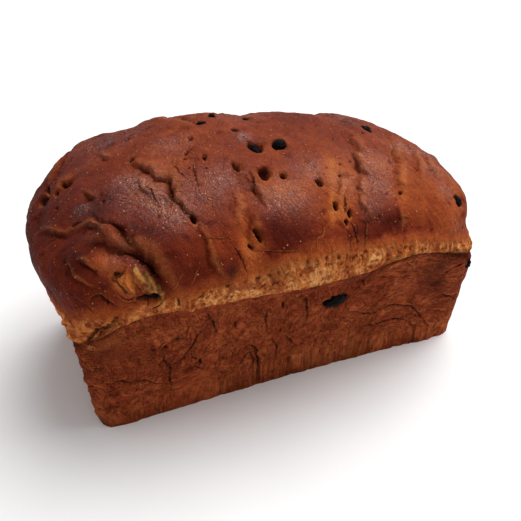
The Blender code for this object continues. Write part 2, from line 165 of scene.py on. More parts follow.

# Thin cracks and seams in the skin: width, depth, how pale their edge is, how much shade is painted
# inside them, and their course
SEAMS = (
    ("belly line", 0.0012, 0.0009, 0.2, 0.6, ((250, 171), (254, 182), (257, 194))),
    ("faint line", 0.0010, 0.0006, 0.1, 0.5, ((174, 166), (179, 172), (184, 178))),
    ("second faint line", 0.0010, 0.0006, 0.1, 0.5, ((193, 166), (195, 176), (198, 187))),
    ("gloss line", 0.0010, 0.0006, 0.5, 0.5, ((146, 186), (152, 191), (157, 203))),
    ("step line", 0.0010, 0.0008, 0.2, 0.9, ((345, 197), (345.7, 204), (345.5, 211))),
    ("pale crack head", 0.0009, 0.0007, 0.4, 0.2,
     ((204, 238.5), (217, 239), (228, 238.5), (231, 243), (235.5, 249))),
    ("pale crack", 0.0010, 0.0010, 0.5, 0.9, ((235.5, 249), (239, 254), (241, 259), (244, 264), (246, 271))),
    ("belly foot line", 0.0009, 0.0006, 0.35, 0.3,
     ((254, 251), (262, 252), (270, 251), (275, 252.5), (290, 252), (299, 252))),
    ("twig", 0.0009, 0.0004, 0.4, 0.2,
     ((328, 222), (323.5, 229), (323.5, 234), (317, 238), (316.5, 244), (314, 252))),
    ("second twig", 0.0008, 0.0004, 0.25, 0.2, ((355, 236), (351, 242), (349, 250))),
    ("drip edge", 0.0010, 0.0007, 0.3, 0.7, ((353, 224), (356, 233), (358, 244))),
    ("drip edge right", 0.0010, 0.0007, 0.3, 0.5, ((367, 222), (366, 232), (364, 246))),
    ("cheek streak", 0.0008, 0.0003, 0.5, 0.0, ((198, 268), (194, 276), (190, 284))),
    ("second cheek streak", 0.0008, 0.0003, 0.5, 0.0, ((180, 274), (175, 283), (172, 289))),
    ("peel edge", 0.0012, 0.0012, 0.7, 0.9, ((120, 272), (114, 277), (107, 279))),
    ("flap edge", 0.0011, 0.0010, 0.7, 0.3,
     ((125, 277), (128, 284.5), (132, 291), (129, 296), (122, 299), (115.5, 296.4), (111, 292))),
    ("flap line", 0.0010, 0.0008, 0.5, 0.3, ((126.4, 277), (129.5, 282), (133.6, 286.4), (139, 293))),
    ("flake edge", 0.0011, 0.0010, 0.5, 0.6, ((104, 281), (110, 282), (116, 286), (121, 290), (127, 291))),
    ("flake top", 0.0010, 0.0006, 0.3, 0.3, ((131, 266), (129.5, 272), (129, 279))),
    ("low flake", 0.0011, 0.0009, 0.3, 0.6, ((86, 301), (94, 297), (102, 299), (110, 305))),
    ("second low flake", 0.0011, 0.0009, 0.3, 0.6, ((72, 299), (80, 304), (90, 311))),
    ("left flake", 0.0010, 0.0008, 0.3, 0.5, ((62, 262), (68, 268), (70, 276))),
    ("dough crack", 0.0010, 0.0010, 0.6, 0.8, ((143, 304), (147.3, 299), (151, 296))),
    ("second dough crack", 0.0010, 0.0010, 0.6, 0.8, ((151, 308.6), (155, 306), (160, 302))),
    ("corner tear", 0.0020, 0.0026, 0.8, 1.0,
     ((87, 345), (90, 338), (93, 333), (103, 328.6), (108.6, 324.3), (112, 319))),
    ("end crack", 0.0016, 0.0018, 0.5, 1.0, ((73, 345), (76, 349), (79, 353))),
    ("deep end crack", 0.0022, 0.0024, 0.6, 1.0, ((81, 366), (82, 375), (81, 384))),
    ("peeled foot", 0.0014, 0.0014, 0.9, 0.7, ((80, 359), (87, 366), (93, 371), (104, 371))),
    ("wall arc", 0.0014, 0.0009, 0.15, 0.7,
     ((208, 326), (201, 334), (197, 340), (192.5, 347.5), (182.5, 360), (174, 371))),
    ("upright groove", 0.0014, 0.0009, 0.15, 0.7, ((206, 312), (212.5, 322.5), (218, 333))),
    ("wall fork", 0.0013, 0.0012, 0.15, 0.9, ((170.5, 364), (171, 374), (171.4, 385))),
    ("fork side", 0.0012, 0.0008, 0.15, 0.8, ((164, 356), (165, 361), (168, 367))),
    ("low line", 0.0012, 0.0008, 0.2, 0.8, ((137, 381), (146, 382), (158, 384.5))),
    ("low line left", 0.0012, 0.0007, 0.2, 0.7, ((112, 385), (122, 382), (134, 384))),
    ("small arch", 0.0011, 0.0008, 0.15, 0.8, ((188, 361), (192, 357.5), (196, 360))),
    ("second small arch", 0.0011, 0.0008, 0.15, 0.8, ((189, 371), (195, 367), (201, 370))),
    ("wide arch", 0.0013, 0.0010, 0.2, 0.8,
     ((234, 357), (242.5, 350), (250, 345.6), (256, 350), (257.5, 358), (259.4, 369))),
    ("inner arch", 0.0012, 0.0008, 0.15, 0.7, ((239, 366), (244, 359), (250, 354), (253, 361), (254, 370))),
    ("middle arc", 0.0012, 0.0008, 0.15, 0.7, ((286, 336), (290, 340), (297, 347))),
    ("middle arc below", 0.0012, 0.0008, 0.15, 0.6, ((272, 338), (277, 347), (276, 357))),
    ("wall groove", 0.0012, 0.0009, 0.15, 0.8, ((306, 300), (308, 309), (308, 318))),
    ("wall groove left", 0.0012, 0.0007, 0.15, 0.6, ((268, 310), (266, 320), (268, 331))),
    ("hill line", 0.0013, 0.0010, 0.4, 0.8,
     ((356, 312), (366, 314), (375, 314), (390, 307), (410, 307), (418, 313), (428, 326))),
    ("hill line below", 0.0013, 0.0007, 0.3, 0.6,
     ((360, 328), (376, 325), (392, 320), (408, 322), (420, 332))),
    ("far fold", 0.0014, 0.0010, 0.4, 0.8, ((465, 263), (455, 269), (443, 276))),
    ("far line", 0.0013, 0.0007, 0.2, 0.6, ((432, 300), (444, 296), (456, 300))),
    ("band step", 0.0009, 0.0007, 1.0, 0.3, ((408.6, 260), (411, 265), (413, 270))),
    ("back seam", 0.0012, 0.0010, 0.2, 0.7,
     ((-0.070, 0.062, 0.060), (-0.050, 0.061, 0.052), (-0.020, 0.061, 0.056), (0.010, 0.061, 0.047))),
    ("back flank seam", 0.0010, 0.0008, 0.8, 0.3,
     ((0.010, 0.048, 0.125), (0.020, 0.058, 0.115), (0.018, 0.068, 0.100))),
    ("end wall seam", 0.0012, 0.0009, 0.2, 0.7,
     ((0.121, -0.020, 0.060), (0.120, 0.000, 0.048), (0.119, 0.022, 0.056))),
)

# Broad swellings and dips of the crust: radius, height and place
SWELLINGS = (
    (0.022, 0.0042, (-0.096, -0.056, 0.106)),
    (0.009, -0.0048, (-0.103, -0.055, 0.106)),
    (0.016, 0.0018, (-0.052, 0.018, 0.137)),
    (0.014, 0.0016, (-0.024, 0.028, 0.134)),
    (0.022, 0.0018, (0.026, 0.020, 0.131)),
    (0.012, 0.0014, (0.052, 0.022, 0.124)),
    (0.024, -0.0020, (0.100, 0.030, 0.106)),
    (0.020, -0.0022, (-0.100, 0.036, 0.116)),
    (0.022, 0.0020, (0.006, -0.060, 0.112)),
    (0.020, 0.0018, (0.086, 0.055, 0.098)),
    (0.020, 0.0020, (-0.082, 0.058, 0.108)),
)

# Small bumps and dents: radius, height and place
BUMPS = (
    (0.0046, 0.0016, (243, 137)),
    (0.0070, -0.0030, (255.5, 146)),
    (0.0050, -0.0014, (279, 145)),
    (0.0034, -0.0010, (296, 144)),
    (0.0030, -0.0009, (309, 142)),
    (0.0030, -0.0009, (174, 144)),
    (0.0034, -0.0010, (118, 145)),
    (0.0028, -0.0008, (400, 187)),
    (0.0026, -0.0009, (255, 203.5)),
    (0.0040, -0.0014, (89, 194)),
    (0.0036, 0.0012, (80, 208)),
    (0.0030, 0.0012, (97, 236)),
    (0.0050, 0.0014, (118, 262)),
    (0.0044, 0.0012, (139, 270)),
    (0.0044, -0.0020, (113, 274)),
    (0.0050, -0.0022, (103, 285)),
    (0.0050, 0.0014, (122, 288)),
    (0.0040, 0.0010, (158, 193)),
    (0.0060, 0.0010, (290, 190)),
    (0.0050, 0.0010, (268, 215)),
    (0.0050, 0.0012, (377, 168)),
    (0.0044, -0.0010, (370, 200)),
    (0.0050, 0.0010, (440, 170)),
    (0.0040, -0.0010, (439, 200)),
    (0.0030, -0.0008, (436, 284)),
    (0.0060, 0.0012, (424, 322)),
    (0.0050, -0.0010, (178, 342)),
    (0.0034, -0.0008, (274, 320)),
    (0.0030, -0.0010, (232, 273)),
    (0.0024, 0.0009, (212, 114)),
    (0.0024, 0.0009, (222, 113)),
    (0.0030, 0.0010, (351, 122)),
    (0.0030, -0.0012, (248, 119)),
    (0.0028, 0.0011, (238, 196)),
    (0.0026, 0.0010, (246, 208)),
    (0.0028, 0.0012, (238, 221)),
    (0.0026, 0.0010, (248, 231)),
    (0.0024, 0.0010, (241, 241)),
    (0.0026, 0.0010, (335, 182)),
    (0.0024, 0.0009, (330, 203)),
    (0.0030, 0.0012, (399, 164)),
    (0.0028, 0.0011, (405, 182)),
    (0.0028, 0.0011, (411, 206)),
    (0.0036, -0.0014, (449, 198)),
    (0.0040, 0.0012, (432, 158)),
    (0.0040, 0.0012, (444, 178)),
)

# Open pits in the crust: width, depth, and the two ends of the long side
PITS = (
    ("great pit", 0.0060, 0.0062, (264, 163), (265.5, 180)),
    ("pit beside it", 0.0036, 0.0046, (281, 172), (286.5, 177.5)),
    ("right pit", 0.0042, 0.0048, (316.5, 177), (323.5, 186)),
    ("slanted pit", 0.0026, 0.0040, (335, 200), (339, 210.5)),
    ("pit under it", 0.0026, 0.0040, (350.5, 208.5), (351.5, 218)),
    ("pit by the line", 0.0022, 0.0030, (347, 218), (348, 226.5)),
    ("slit pit", 0.0022, 0.0060, (254.5, 227), (262.5, 243)),
    ("slit tail", 0.0016, 0.0030, (249.5, 243.5), (255, 251)),
    ("crease pit", 0.0028, 0.0044, (190.5, 212), (196, 224)),
    ("belly pit", 0.0026, 0.0028, (231.5, 159), (241, 168)),
    ("pit 190", 0.0030, 0.0028, (187.5, 138), (192.5, 137)),
    ("pit 186", 0.0022, 0.0028, (184.5, 154.5), (187.5, 148.5)),
    ("crescent 184", 0.0018, 0.0018, (182, 159.5), (187, 158.5)),
    ("pit 204", 0.0022, 0.0028, (203, 155), (205.5, 160.5)),
    ("tiny 206", 0.0014, 0.0014, (205, 168), (207.2, 168)),
    ("tiny 188", 0.0014, 0.0014, (187.5, 168.5), (189.7, 168.5)),
    ("pit 126", 0.0034, 0.0030, (124, 139.5), (129, 139.5)),
    ("pit 131", 0.0034, 0.0024, (129.5, 160), (133.5, 160)),
    ("pit 404", 0.0022, 0.0026, (401, 191), (406, 189)),
    ("pit 350", 0.0018, 0.0018, (349, 160), (351.5, 160)),
    ("mark 363", 0.0018, 0.0012, (361.5, 132), (364.5, 132)),
    ("tiny 327", 0.0014, 0.0014, (326, 166), (328, 166)),
    ("spot 340", 0.0014, 0.0008, (339, 163.6), (341.2, 163.6)),
    ("spot 341", 0.0014, 0.0008, (339.6, 174), (341.8, 174)),
    ("left double pit", 0.0032, 0.0034, (59.5, 183), (64, 182)),
    ("left double pit right", 0.0030, 0.0034, (65, 183), (69, 184)),
    ("left hole", 0.0026, 0.0034, (46.5, 184.5), (48, 192.5)),
    ("left hole right", 0.0026, 0.0034, (54.5, 190), (56.5, 195.5)),
    ("spot 57", 0.0018, 0.0016, (55.5, 208.6), (58.2, 208.6)),
    ("spot 103", 0.0018, 0.0016, (101.5, 201), (104.2, 201)),
    ("left slit", 0.0018, 0.0030, (69, 226), (81.5, 221.5)),
    ("small peel pit", 0.0018, 0.0018, (102.5, 303), (105, 303)),
    ("deep by the dough", 0.0020, 0.0030, (151.5, 272.5), (155, 276.5)),
    ("dent under the bulge", 0.0026, 0.0012, (108.5, 276), (116.5, 274)),
    ("wall slit", 0.0014, 0.0018, (258.3, 357), (258.7, 366)),
    ("wall pit 201", 0.0018, 0.0018, (200.4, 359.5), (200.8, 364.5)),
    ("wall pit 177", 0.0018, 0.0012, (175, 341), (181, 341.8)),
    ("wall pit 236", 0.0018, 0.0014, (235.5, 322), (236.5, 330)),
    ("wall pit 284", 0.0018, 0.0014, (283.5, 302.5), (284, 309)),
    ("wall pit 281", 0.0020, 0.0010, (279, 331), (282.5, 331)),
    ("wall pit 290", 0.0012, 0.0010, (289, 358), (291, 357)),
    ("wall pit 326", 0.0012, 0.0010, (325, 352), (327, 352)),
    ("wall pit 371", 0.0020, 0.0018, (369, 284), (373, 276)),
    ("wall pit 396", 0.0016, 0.0012, (394.5, 293.5), (397, 292.5)),
    ("wall pit 416", 0.0016, 0.0014, (414.5, 316), (417.3, 316)),
    ("wall pit 172", 0.0016, 0.0014, (172, 311.5), (172, 314.8)),
    ("wall pit 137", 0.0018, 0.0010, (135.5, 390.7), (138.5, 390.7)),
    ("ring 154", 0.0026, 0.0010, (151.5, 351), (157, 350.4)),
    ("ring 166", 0.0024, 0.0010, (163, 349), (168.5, 348.2)),
    ("band pit 201", 0.0014, 0.0012, (198, 297), (204, 295)),
    ("band pit 228", 0.0012, 0.0010, (225, 287), (231, 285)),
    ("band pit 258", 0.0012, 0.0010, (255, 279), (261, 277)),
    ("band pit 283", 0.0012, 0.0014, (282.3, 284.5), (284.7, 284.5)),
    ("band pit 313", 0.0012, 0.0014, (311.8, 287.5), (314.2, 287.5)),
    ("band pit 179", 0.0016, 0.0010, (179, 298.5), (178.5, 305.5)),
    ("back pit", 0.0056, 0.0046, (0.027, 0.054, 0.119), (0.033, 0.050, 0.119)),
    ("back left pit", 0.0040, 0.0040, (-0.062, 0.061, 0.112), (-0.058, 0.063, 0.111)),
    ("back middle pit", 0.0028, 0.0024, (-0.012, 0.055, 0.124), (-0.008, 0.056, 0.124)),
    ("back right pit", 0.0026, 0.0020, (0.063, 0.045, 0.116), (0.066, 0.047, 0.116)),
    ("back wall pit", 0.0024, 0.0016, (-0.092, 0.061, 0.060), (-0.088, 0.061, 0.061)),
    ("back wall pit right", 0.0022, 0.0014, (0.040, 0.060, 0.028), (0.041, 0.060, 0.032)),
)
# Where the photograph's light comes from, which the rims and far sides of open pits catch
LIGHT_SIDE = np.array((0.55, 0.75, 0.35))

# Raisins: length, width, thickness, how deep the middle lies, place, and turn of the long side
RAISINS = (
    (0.0140, 0.0096, 0.0060, 0.0022, (0.024, -0.059, 0.059), 14),
    (0.0104, 0.0064, 0.0064, 0.0032, (-0.006, -0.007, 0.137), 100),
    (0.0080, 0.0066, 0.0060, 0.0028, (0.007, -0.008, 0.135), 40),
    (0.0076, 0.0068, 0.0044, 0.0012, (0.074, 0.018, 0.119), 0),
    (0.0040, 0.0036, 0.0036, 0.0006, (0.000, 0.026, 0.134), 30),
    (0.0050, 0.0032, 0.0030, 0.0008, (-0.027, 0.021, 0.138), 0),
    (0.0040, 0.0034, 0.0030, 0.0008, (-0.018, 0.030, 0.135), 50),
    (0.0052, 0.0040, 0.0036, 0.0012, (-0.012, 0.009, 0.138), 60),
    (0.0070, 0.0056, 0.0050, 0.0022, (-0.114, 0.018, 0.110), 50),
    (0.0070, 0.0060, 0.0050, 0.0020, (0.101, -0.043, 0.099), 80),
    (0.0110, 0.0036, 0.0040, 0.0014, (-0.079, -0.064, 0.101), -18),
    (0.0066, 0.0046, 0.0044, 0.0016, (0.109, -0.055, 0.060), 80),
    (0.0110, 0.0080, 0.0060, 0.0020, (-0.044, 0.058, 0.036), 35),
    (0.0096, 0.0074, 0.0056, 0.0020, (0.067, 0.060, 0.058), -20),
    (0.0100, 0.0078, 0.0058, 0.0022, (0.012, 0.066, 0.109), 70),
    (0.0090, 0.0070, 0.0056, 0.0018, (0.118, 0.020, 0.040), 60),
    (0.0094, 0.0076, 0.0056, 0.0020, (-0.117, -0.014, 0.050), -30),
    (0.0086, 0.0066, 0.0052, 0.0018, (0.086, 0.056, 0.098), 10),
)
# A raisin's hollow against its size, the step between raisins in the noise, how finely each is cut,
# and how its long and its small wrinkles are stretched
POCKET_SPREAD = 1.15
SEED_SPREAD = 7.3
RAISIN_CUTS = 5
LONG_WRINKLES = (1.1, 2.6, 2.6)
SMALL_WRINKLES = (3.1, 5.2, 5.2)

# How dark or pale the crust is made, partly its baked tone and partly painted shade and painted light:
# radius, tone and place, with pale below zero and dark above
TONES_AND_SHADING = (
    (0.030, -0.45, (438, 215)),
    (0.014, -0.35, (408, 150)),
    (0.012, -0.20, (404, 195)),
    (0.014, -0.40, (450, 180)),
    (0.008, -0.25, (258, 262)),
    (0.014, -0.60, (354, 192)),
    (0.012, -0.45, (374, 160)),
    (0.014, -0.65, (290, 194)),
    (0.012, -0.35, (138, 188)),
    (0.009, -0.20, (160, 204)),
    (0.009, -0.30, (178, 214)),
    (0.010, -0.80, (339, 214)),
    (0.008, -0.60, (257, 247)),
    (0.011, 0.70, (104, 202)),
    (0.010, 0.20, (298, 226)),
    (0.012, 0.20, (378, 224)),
    (0.014, -0.70, (98, 332)),
    (0.012, -0.40, (125, 340)),
    (0.016, 0.40, (185, 377)),
    (0.012, 0.40, (118, 402)),
    (0.018, -0.35, (232, 342)),
    (0.020, -0.30, (350, 332)),
    (0.008, 0.40, (402, 224)),
    (0.016, 0.45, (45, 178)),
    (0.016, 0.35, (342, 119)),
    (0.014, 0.30, (100, 140)),
    (0.006, 0.50, (80, 262)),
    (0.0036, -0.70, (121, 283)),
    (0.0036, -0.60, (128, 291)),
    (0.012, 0.45, (135, 236)),
    (0.010, -0.55, (331, 166)),
    (0.018, 0.60, (150, 246)),
    (0.018, 0.20, (110, 215)),
    (0.014, 0.45, (70, 255)),
    (0.010, 0.40, (392, 224)),
    (0.008, 0.30, (272, 226)),
    (0.008, 0.30, (212, 222)),
    (0.016, 0.30, (130, 132)),
    (0.016, 0.30, (305, 122)),
    (0.006, -0.35, (250, 250)),
    (0.014, 0.40, (282, 233)),
    (0.010, 0.40, (360, 240)),
    (0.030, 0.95, (42, 215)),
    (0.020, 0.35, (70, 290)),
    (0.012, -0.60, (112, 264)),
    (0.0050, -0.80, (116, 285)),
    (0.0040, -0.80, (127, 281)),
    (0.0060, -0.40, (98, 262)),
    (0.012, 0.10, (195, 262)),
    (0.014, -0.25, (165, 160)),
    (0.008, 0.20, (440, 202)),
    (0.008, 0.45, (430, 228)),
    (0.020, 0.20, (0.030, 0.045, 0.122)),
)
# How glazed the crown is: radius, gloss and place
GLAZED = (
    (0.0120, 1.0, (143, 190)),
    (0.0070, 0.70, (160, 205)),
    (0.0070, 0.85, (177, 214)),
    (0.0060, 0.80, (124, 181)),
    (0.0110, 0.40, (205, 190)),
    (0.0100, 0.35, (284, 188)),
    (0.0090, 0.40, (297, 200)),
    (0.0070, 0.45, (272, 202)),
    (0.0120, 0.60, (372, 160)),
    (0.0100, 0.60, (376, 185)),
    (0.0090, 0.70, (402, 147)),
    (0.0060, 0.40, (370, 206)),
    (0.0070, 0.40, (345, 185)),
    (0.0045, 1.0, (243, 136)),
    (0.0050, 0.45, (83, 209)),
    (0.0050, 0.45, (113, 257)),
    (0.0034, 0.45, (137, 263)),
    (0.0070, 0.60, (418, 150)),
    (0.0060, 0.60, (431, 170)),
    (0.0060, 0.50, (446, 190)),
    (0.0090, 0.5, (310, 168)),
    (0.0080, 0.5, (225, 175)),
    (0.0100, 0.5, (440, 165)),
    (0.0100, 0.4, (170, 145)),
    (0.0200, 0.6, (0.000, 0.045, 0.126)),
    (0.0160, 0.6, (0.060, 0.035, 0.117)),
    (0.0160, 0.6, (-0.070, 0.040, 0.124)),
)
# Dark stains on the walls, the band and the crown: radius, strength and place
STAINS = (
    (0.0100, 0.75, (445, 263)),
    (0.0060, 0.60, (430, 270)),
    (0.0042, 0.90, (436, 284)),
    (0.0036, 1.00, (232, 271)),
    (0.0030, 0.80, (231, 277)),
    (0.0050, 0.80, (277, 275)),
    (0.0018, 0.80, (308, 262)),
    (0.0018, 0.60, (308, 268)),
    (0.0040, 0.60, (96, 400)),
    (0.0080, 0.50, (100, 425)),
    (0.0060, 0.60, (84, 372)),
    (0.0030, 0.70, (178, 341)),
    (0.0020, 0.80, (155, 351)),
    (0.0020, 0.80, (166, 349)),
    (0.0026, 0.80, (371, 280)),
    (0.0030, 0.45, (274, 320)),
    (0.0024, 0.90, (469, 262)),
    (0.0090, 0.50, (442, 288)),
    (0.0050, 0.55, (424, 284)),
    (0.0040, 0.45, (106, 329)),
    (0.0060, 0.30, (70, 316)),
    (0.0030, 0.40, (103, 285)),
    (0.0040, 0.45, (359, 236)),
    (0.0024, 0.50, (212, 322)),
    (0.0016, 0.60, (340, 164)),
    (0.0016, 0.60, (341, 174)),
)
# The unglazed dough by the corner fold: radius and place
BARE_DOUGH = (
    (0.0030, (134, 271)),
    (0.0042, (140, 277)),
    (0.0046, (147, 284)),
    (0.0042, (154, 291)),
    (0.0030, (158, 297)),
)
# Pale torn patches on the wall and along the band: radius, strength and place
TORN_PATCHES = (
    (0.0050, 0.75, (93, 332)),
    (0.0040, 0.65, (84, 346)),
    (0.0030, 0.40, (82, 362)),
    (0.0060, 0.70, (258, 262)),
    (0.0050, 0.50, (244, 267)),
    (0.0040, 0.50, (110, 415)),
    (0.0050, 0.35, (466, 247)),
)

# What the mesh tells the material at each point, and the distance to a crack, in millimetres, that
# stands for none
# Some marks carry painted shade, in hollows, creases and cracks, and one a painted highlight on rims
MARKS = ("over_foot", "over_band", "crack", "crack_shade", "crack_pale", "groove", "rim_and_highlight", "tone", "glaze",
         "stain", "dough", "torn", "foot", "top_glaze")
FAR_OFF = 9.0

# The flow of the dough: upright in the middle of the walls, over a hill at the right and round a turn at
# the left, with lines that wander, and stretched along its way
HILL_X = 0.058
HILL_WIDTH = 0.026
HILL_RISE = 0.012
HILL_LEVEL = 0.040
HILL_START = -0.07
TURN_X = -0.102
TURN_Z = 0.066
TURN_RADIUS = 0.132
TURN_START = 0.126
TURN_RUN = 0.05
FLOW_WANDER = 0.0030
FLOW_DEPTH = 0.35
FLOW_STRETCH = 0.42

# The relief of the walls, the torn band and the crown, in metres
WALL_SWELL = 0.00050
WALL_SMALL_SWELL = 0.00035
WALL_ROPES = 0.00030
WALL_WRINKLE = 0.0009
WALL_THIN_WRINKLE = 0.0006
RAGGED_FOOT = 0.0024
CRUMBS = 0.0011
BAND_EDGE = 0.0012
BAND_STRANDS = 0.00080
BAND_LUMPS = 0.0012
BAND_GRAIN = 0.00040
BAND_BLISTERS = 0.0010
BAND_PORES = 0.0010
BAND_LEDGE = 0.0006
CROWN_SWELL = 0.0010
CROWN_LUMPS = 0.0009
CROWN_SMALL_LUMPS = 0.00045
CROWN_GRAIN = 0.00022
CROWN_CREASE = 0.0006
CROWN_CRUMPLE = 0.0006
CROWN_DIMPLE = 0.0007

# How much darker the cheek is made, how much shade is painted into the dimples, how glossy the top is,
# and how far a torn patch pushes the band's edge up, in millimetres
CHEEK_TONE = 0.35
DIMPLE_SHADE = 0.45
TOP_GLAZE = 0.14
TORN_RISE = 5.0

# A crack's width in the material's scale, and how far from a seam its crack is told to the material
CRACK_WIDTH = 0.0011
SEAM_BAND = 0.007

# Colours that lie in spots and lines over the crust's own, some of them painted light and shade
SPECK = (0.50, 0.19, 0.06, 1)
SPARK = (0.620, 0.270, 0.110, 1)
# A painted highlight: pale glints of light on the glaze
PAINTED_GLINT = (0.680, 0.380, 0.300, 1)
# Partly the paler stretched skin of rims and lips, partly a painted highlight where rims face the light
PALE_RIM_AND_HIGHLIGHT = (0.50, 0.145, 0.036, 1)
RED_PATCH = (0.260, 0.050, 0.018, 1)
BAND_RIDGE = (0.740, 0.300, 0.090, 1)
# Painted shade inside the band's pores
PORE_SHADE = (0.130, 0.040, 0.016, 1)
# Painted shade in the creases of the wall
WALL_CREASE_SHADE = (0.080, 0.011, 0.004, 1)
WALL_EDGE = (0.520, 0.160, 0.045, 1)
FRINGE = (0.340, 0.072, 0.016, 1)
STAIN = (0.045, 0.010, 0.006, 1)
# Painted shade in folds, pits, cracks, pores, creases and under the band's edge
HOLLOW_SHADE = (0.026, 0.004, 0.002, 1)

# Gloss: the glaze's roughness and refraction, and how faintly the bare crust and the raisins shine
GLAZE_ROUGHNESS = 0.25
GLAZE_REFRACTION = 1.75
CRUST_SHINE = 0.05
RAISIN_SHINE = 0.06

# The studio: strength of the light from all round, strength, spread in degrees and direction of the sun,
# and half the floor's side
SKY_STRENGTH = 0.46
SUN_STRENGTH = 2.9
SUN_SPREAD = 55
SUN_DIRECTION = (0.50, 0.16, 0.85)
FLOOR_HALF = 3.0


def along(x, heights):
    """A smooth line through heights that stand STATION_STEP apart, centred on the loaf's middle."""
    heights = np.asarray(heights)
    spans = len(heights) - 1
    held = np.concatenate(([2 * heights[0] - heights[1]], heights, [2 * heights[-1] - heights[-2]] * 2))
    at = np.clip(x / STATION_STEP + spans / 2, 0, spans)
    span = at.astype(int)
    t = at - span
    a, b, c, d = (held[span + step] for step in range(4))
    return b + 0.5 * t * (c - a + t * (2 * a - 5 * b + 4 * c - d + t * (3 * (b - c) + d - a)))


def rounded_corner(first, second, radius):
    """The distance outside two walls that meet, with their corner rounded."""
    first = first + radius
    second = second + radius
    corner = np.hypot(np.maximum(first, 0), np.maximum(second, 0))
    return corner + np.minimum(np.maximum(first, second), 0) - radius


def tin_walls(x, y, z):
    """How far a place lies outside the tapered tin."""
    end = np.abs(x) - BASE_HALF_LENGTH - END_FLARE * z
    drawn_in = np.clip(1 - (x / BASE_HALF_LENGTH) ** 2, 0, 1) * np.clip(1 - z / SHRINK_TOP, 0, 1)
    side = np.abs(y) - BASE_HALF_WIDTH - SIDE_FLARE * z + SHRINK * drawn_in
    walls = rounded_corner(end, side, CORNER + CORNER_GROWTH * np.maximum(z, 0))
    return rounded_corner(walls, -z, BASE_EDGE)


def crown(x, y, z, cheek):
    """How far a place lies outside the dome above the crown's widest level."""
    reach_x = np.where(x < 0, REACH_LEFT, REACH_RIGHT)
    reach_y = np.where(y < 0, REACH_FRONT, REACH_BACK)
    plan = ((np.abs(x) / reach_x) ** PLAN_POWER + (np.abs(y) / reach_y) ** PLAN_POWER) ** (1 / PLAN_POWER)
    rise = np.maximum(z - cheek, 0) / (along(x, CREST) - cheek)
    return REACH_FRONT * ((plan**RISE_POWER + rise**RISE_POWER) ** (1 / RISE_POWER) - 1)


def outside(places):
    """How far places lie outside the loaf: the tin below the tear, the dome above the cheek."""
    x, y, z = places.T
    tear = along(x, TEAR)
    cheek = along(x, CHEEK)
    up = np.clip((z - tear) / (cheek - tear), 0, 1)
    swell = 1 - (1 - up) ** SWELL_POWER
    return (1 - swell) * tin_walls(x, y, z) + swell * crown(x, y, z, cheek)


def on_crust(directions):
    """Goes from the heart in each direction until the crust, by halving."""
    near = np.zeros(len(directions))
    far = np.full(len(directions), 2.0)
    for _ in range(HALVINGS):
        middle = (near + far) / 2
        inside = outside(HEART + directions * middle[:, None]) < 0
        near = np.where(inside, middle, near)
        far = np.where(inside, far, middle)
    return HEART + directions * far[:, None]


def crust_normals(places, step=0.0003):
    """The outward normal of the crust at each place."""
    slopes = np.empty_like(places)
    for axis in range(3):
        shift = np.zeros(3)
        shift[axis] = step
        slopes[:, axis] = outside(places + shift) - outside(places - shift)
    return slopes / np.linalg.norm(slopes, axis=1)[:, None]


def camera_axes():
    """The way the camera looks, its right and its up."""
    ahead = np.array((math.sin(AZIMUTH) * math.cos(ELEVATION), math.cos(AZIMUTH) * math.cos(ELEVATION),
                      -math.sin(ELEVATION)))
    right = np.array((math.cos(AZIMUTH), -math.sin(AZIMUTH), 0))
    up = np.cross(right, ahead)
    tilted_right = math.cos(ROLL) * right + math.sin(ROLL) * up
    tilted_up = math.cos(ROLL) * up - math.sin(ROLL) * right
    return ahead, tilted_right, tilted_up


def seen_at(pixels, rounds=3):
    """The places on the plain form that the photograph's sight lines meet, its swellings counted."""
    ahead, right, up = camera_axes()
    across = (pixels[:, 0] - PHOTO_MIDDLE) / PHOTO_FOCAL
    down = (pixels[:, 1] - PHOTO_MIDDLE) / PHOTO_FOCAL
    ways = ahead + across[:, None] * right - down[:, None] * up
    ways /= np.linalg.norm(ways, axis=1)[:, None]
    steps = np.arange(SIGHT_NEAR, SIGHT_FAR, SIGHT_STEP)
    line = EYE + ways[:, None, :] * steps[None, :, None]
    gaps = outside(line.reshape(-1, 3)).reshape(len(pixels), -1)
    lift = np.zeros(len(pixels))
    for _ in range(rounds):
        inside = gaps < lift[:, None]
        first = np.where(inside.any(axis=1), inside.argmax(axis=1), (gaps - lift[:, None]).argmin(axis=1))
        near = steps[np.maximum(first - 1, 0)]
        far = steps[first]
        for _ in range(SIGHT_HALVINGS):
            middle = (near + far) / 2
            within = outside(EYE + ways * middle[:, None]) < lift
            near = np.where(within, near, middle)
            far = np.where(within, middle, far)
        places = on_crust(EYE + ways * far[:, None] - HEART)
        lift = plain_height(places)
    return places


def settle(points):
    """Moves points onto the crust: places along their rays from the heart, pixels along the sight lines."""
    points = np.asarray(points, float)
    if points.shape[1] == 2:
        return seen_at(points)
    return on_crust(points - HEART)


def smooth_course(points, per_span=12):
    """A smooth course on the crust through a few points."""
    points = settle(points)
    held = np.concatenate(([2 * points[0] - points[1]], points, [2 * points[-1] - points[-2]]))
    course = []
    for a, b, c, d in zip(held, held[1:], held[2:], held[3:]):
        for t in np.arange(per_span) / per_span:
            bend = 2 * a - 5 * b + 4 * c - d + t * (3 * (b - c) + d - a)
            course.append(b + 0.5 * t * (c - a + t * bend))
    course.append(points[-1])
    return settle(course)


def smooth_step(values, low, high):
    """Goes smoothly from 0 at low to 1 at high."""
    t = np.clip((values - low) / (high - low), 0, 1)
    return t * t * (3 - 2 * t)


def bell(distances, width):
    return np.exp(-((distances / width) ** 2))


def lumps(places, size, seed=0.0, stretch=(1, 1, 1)):
    """Smooth noise from -1 to 1, its lumps about the given size across. Each use has a seed of its own."""
    scaled = places / (size * np.asarray(stretch)) + seed
    return np.array([noise.noise(place) for place in scaled.tolist()])


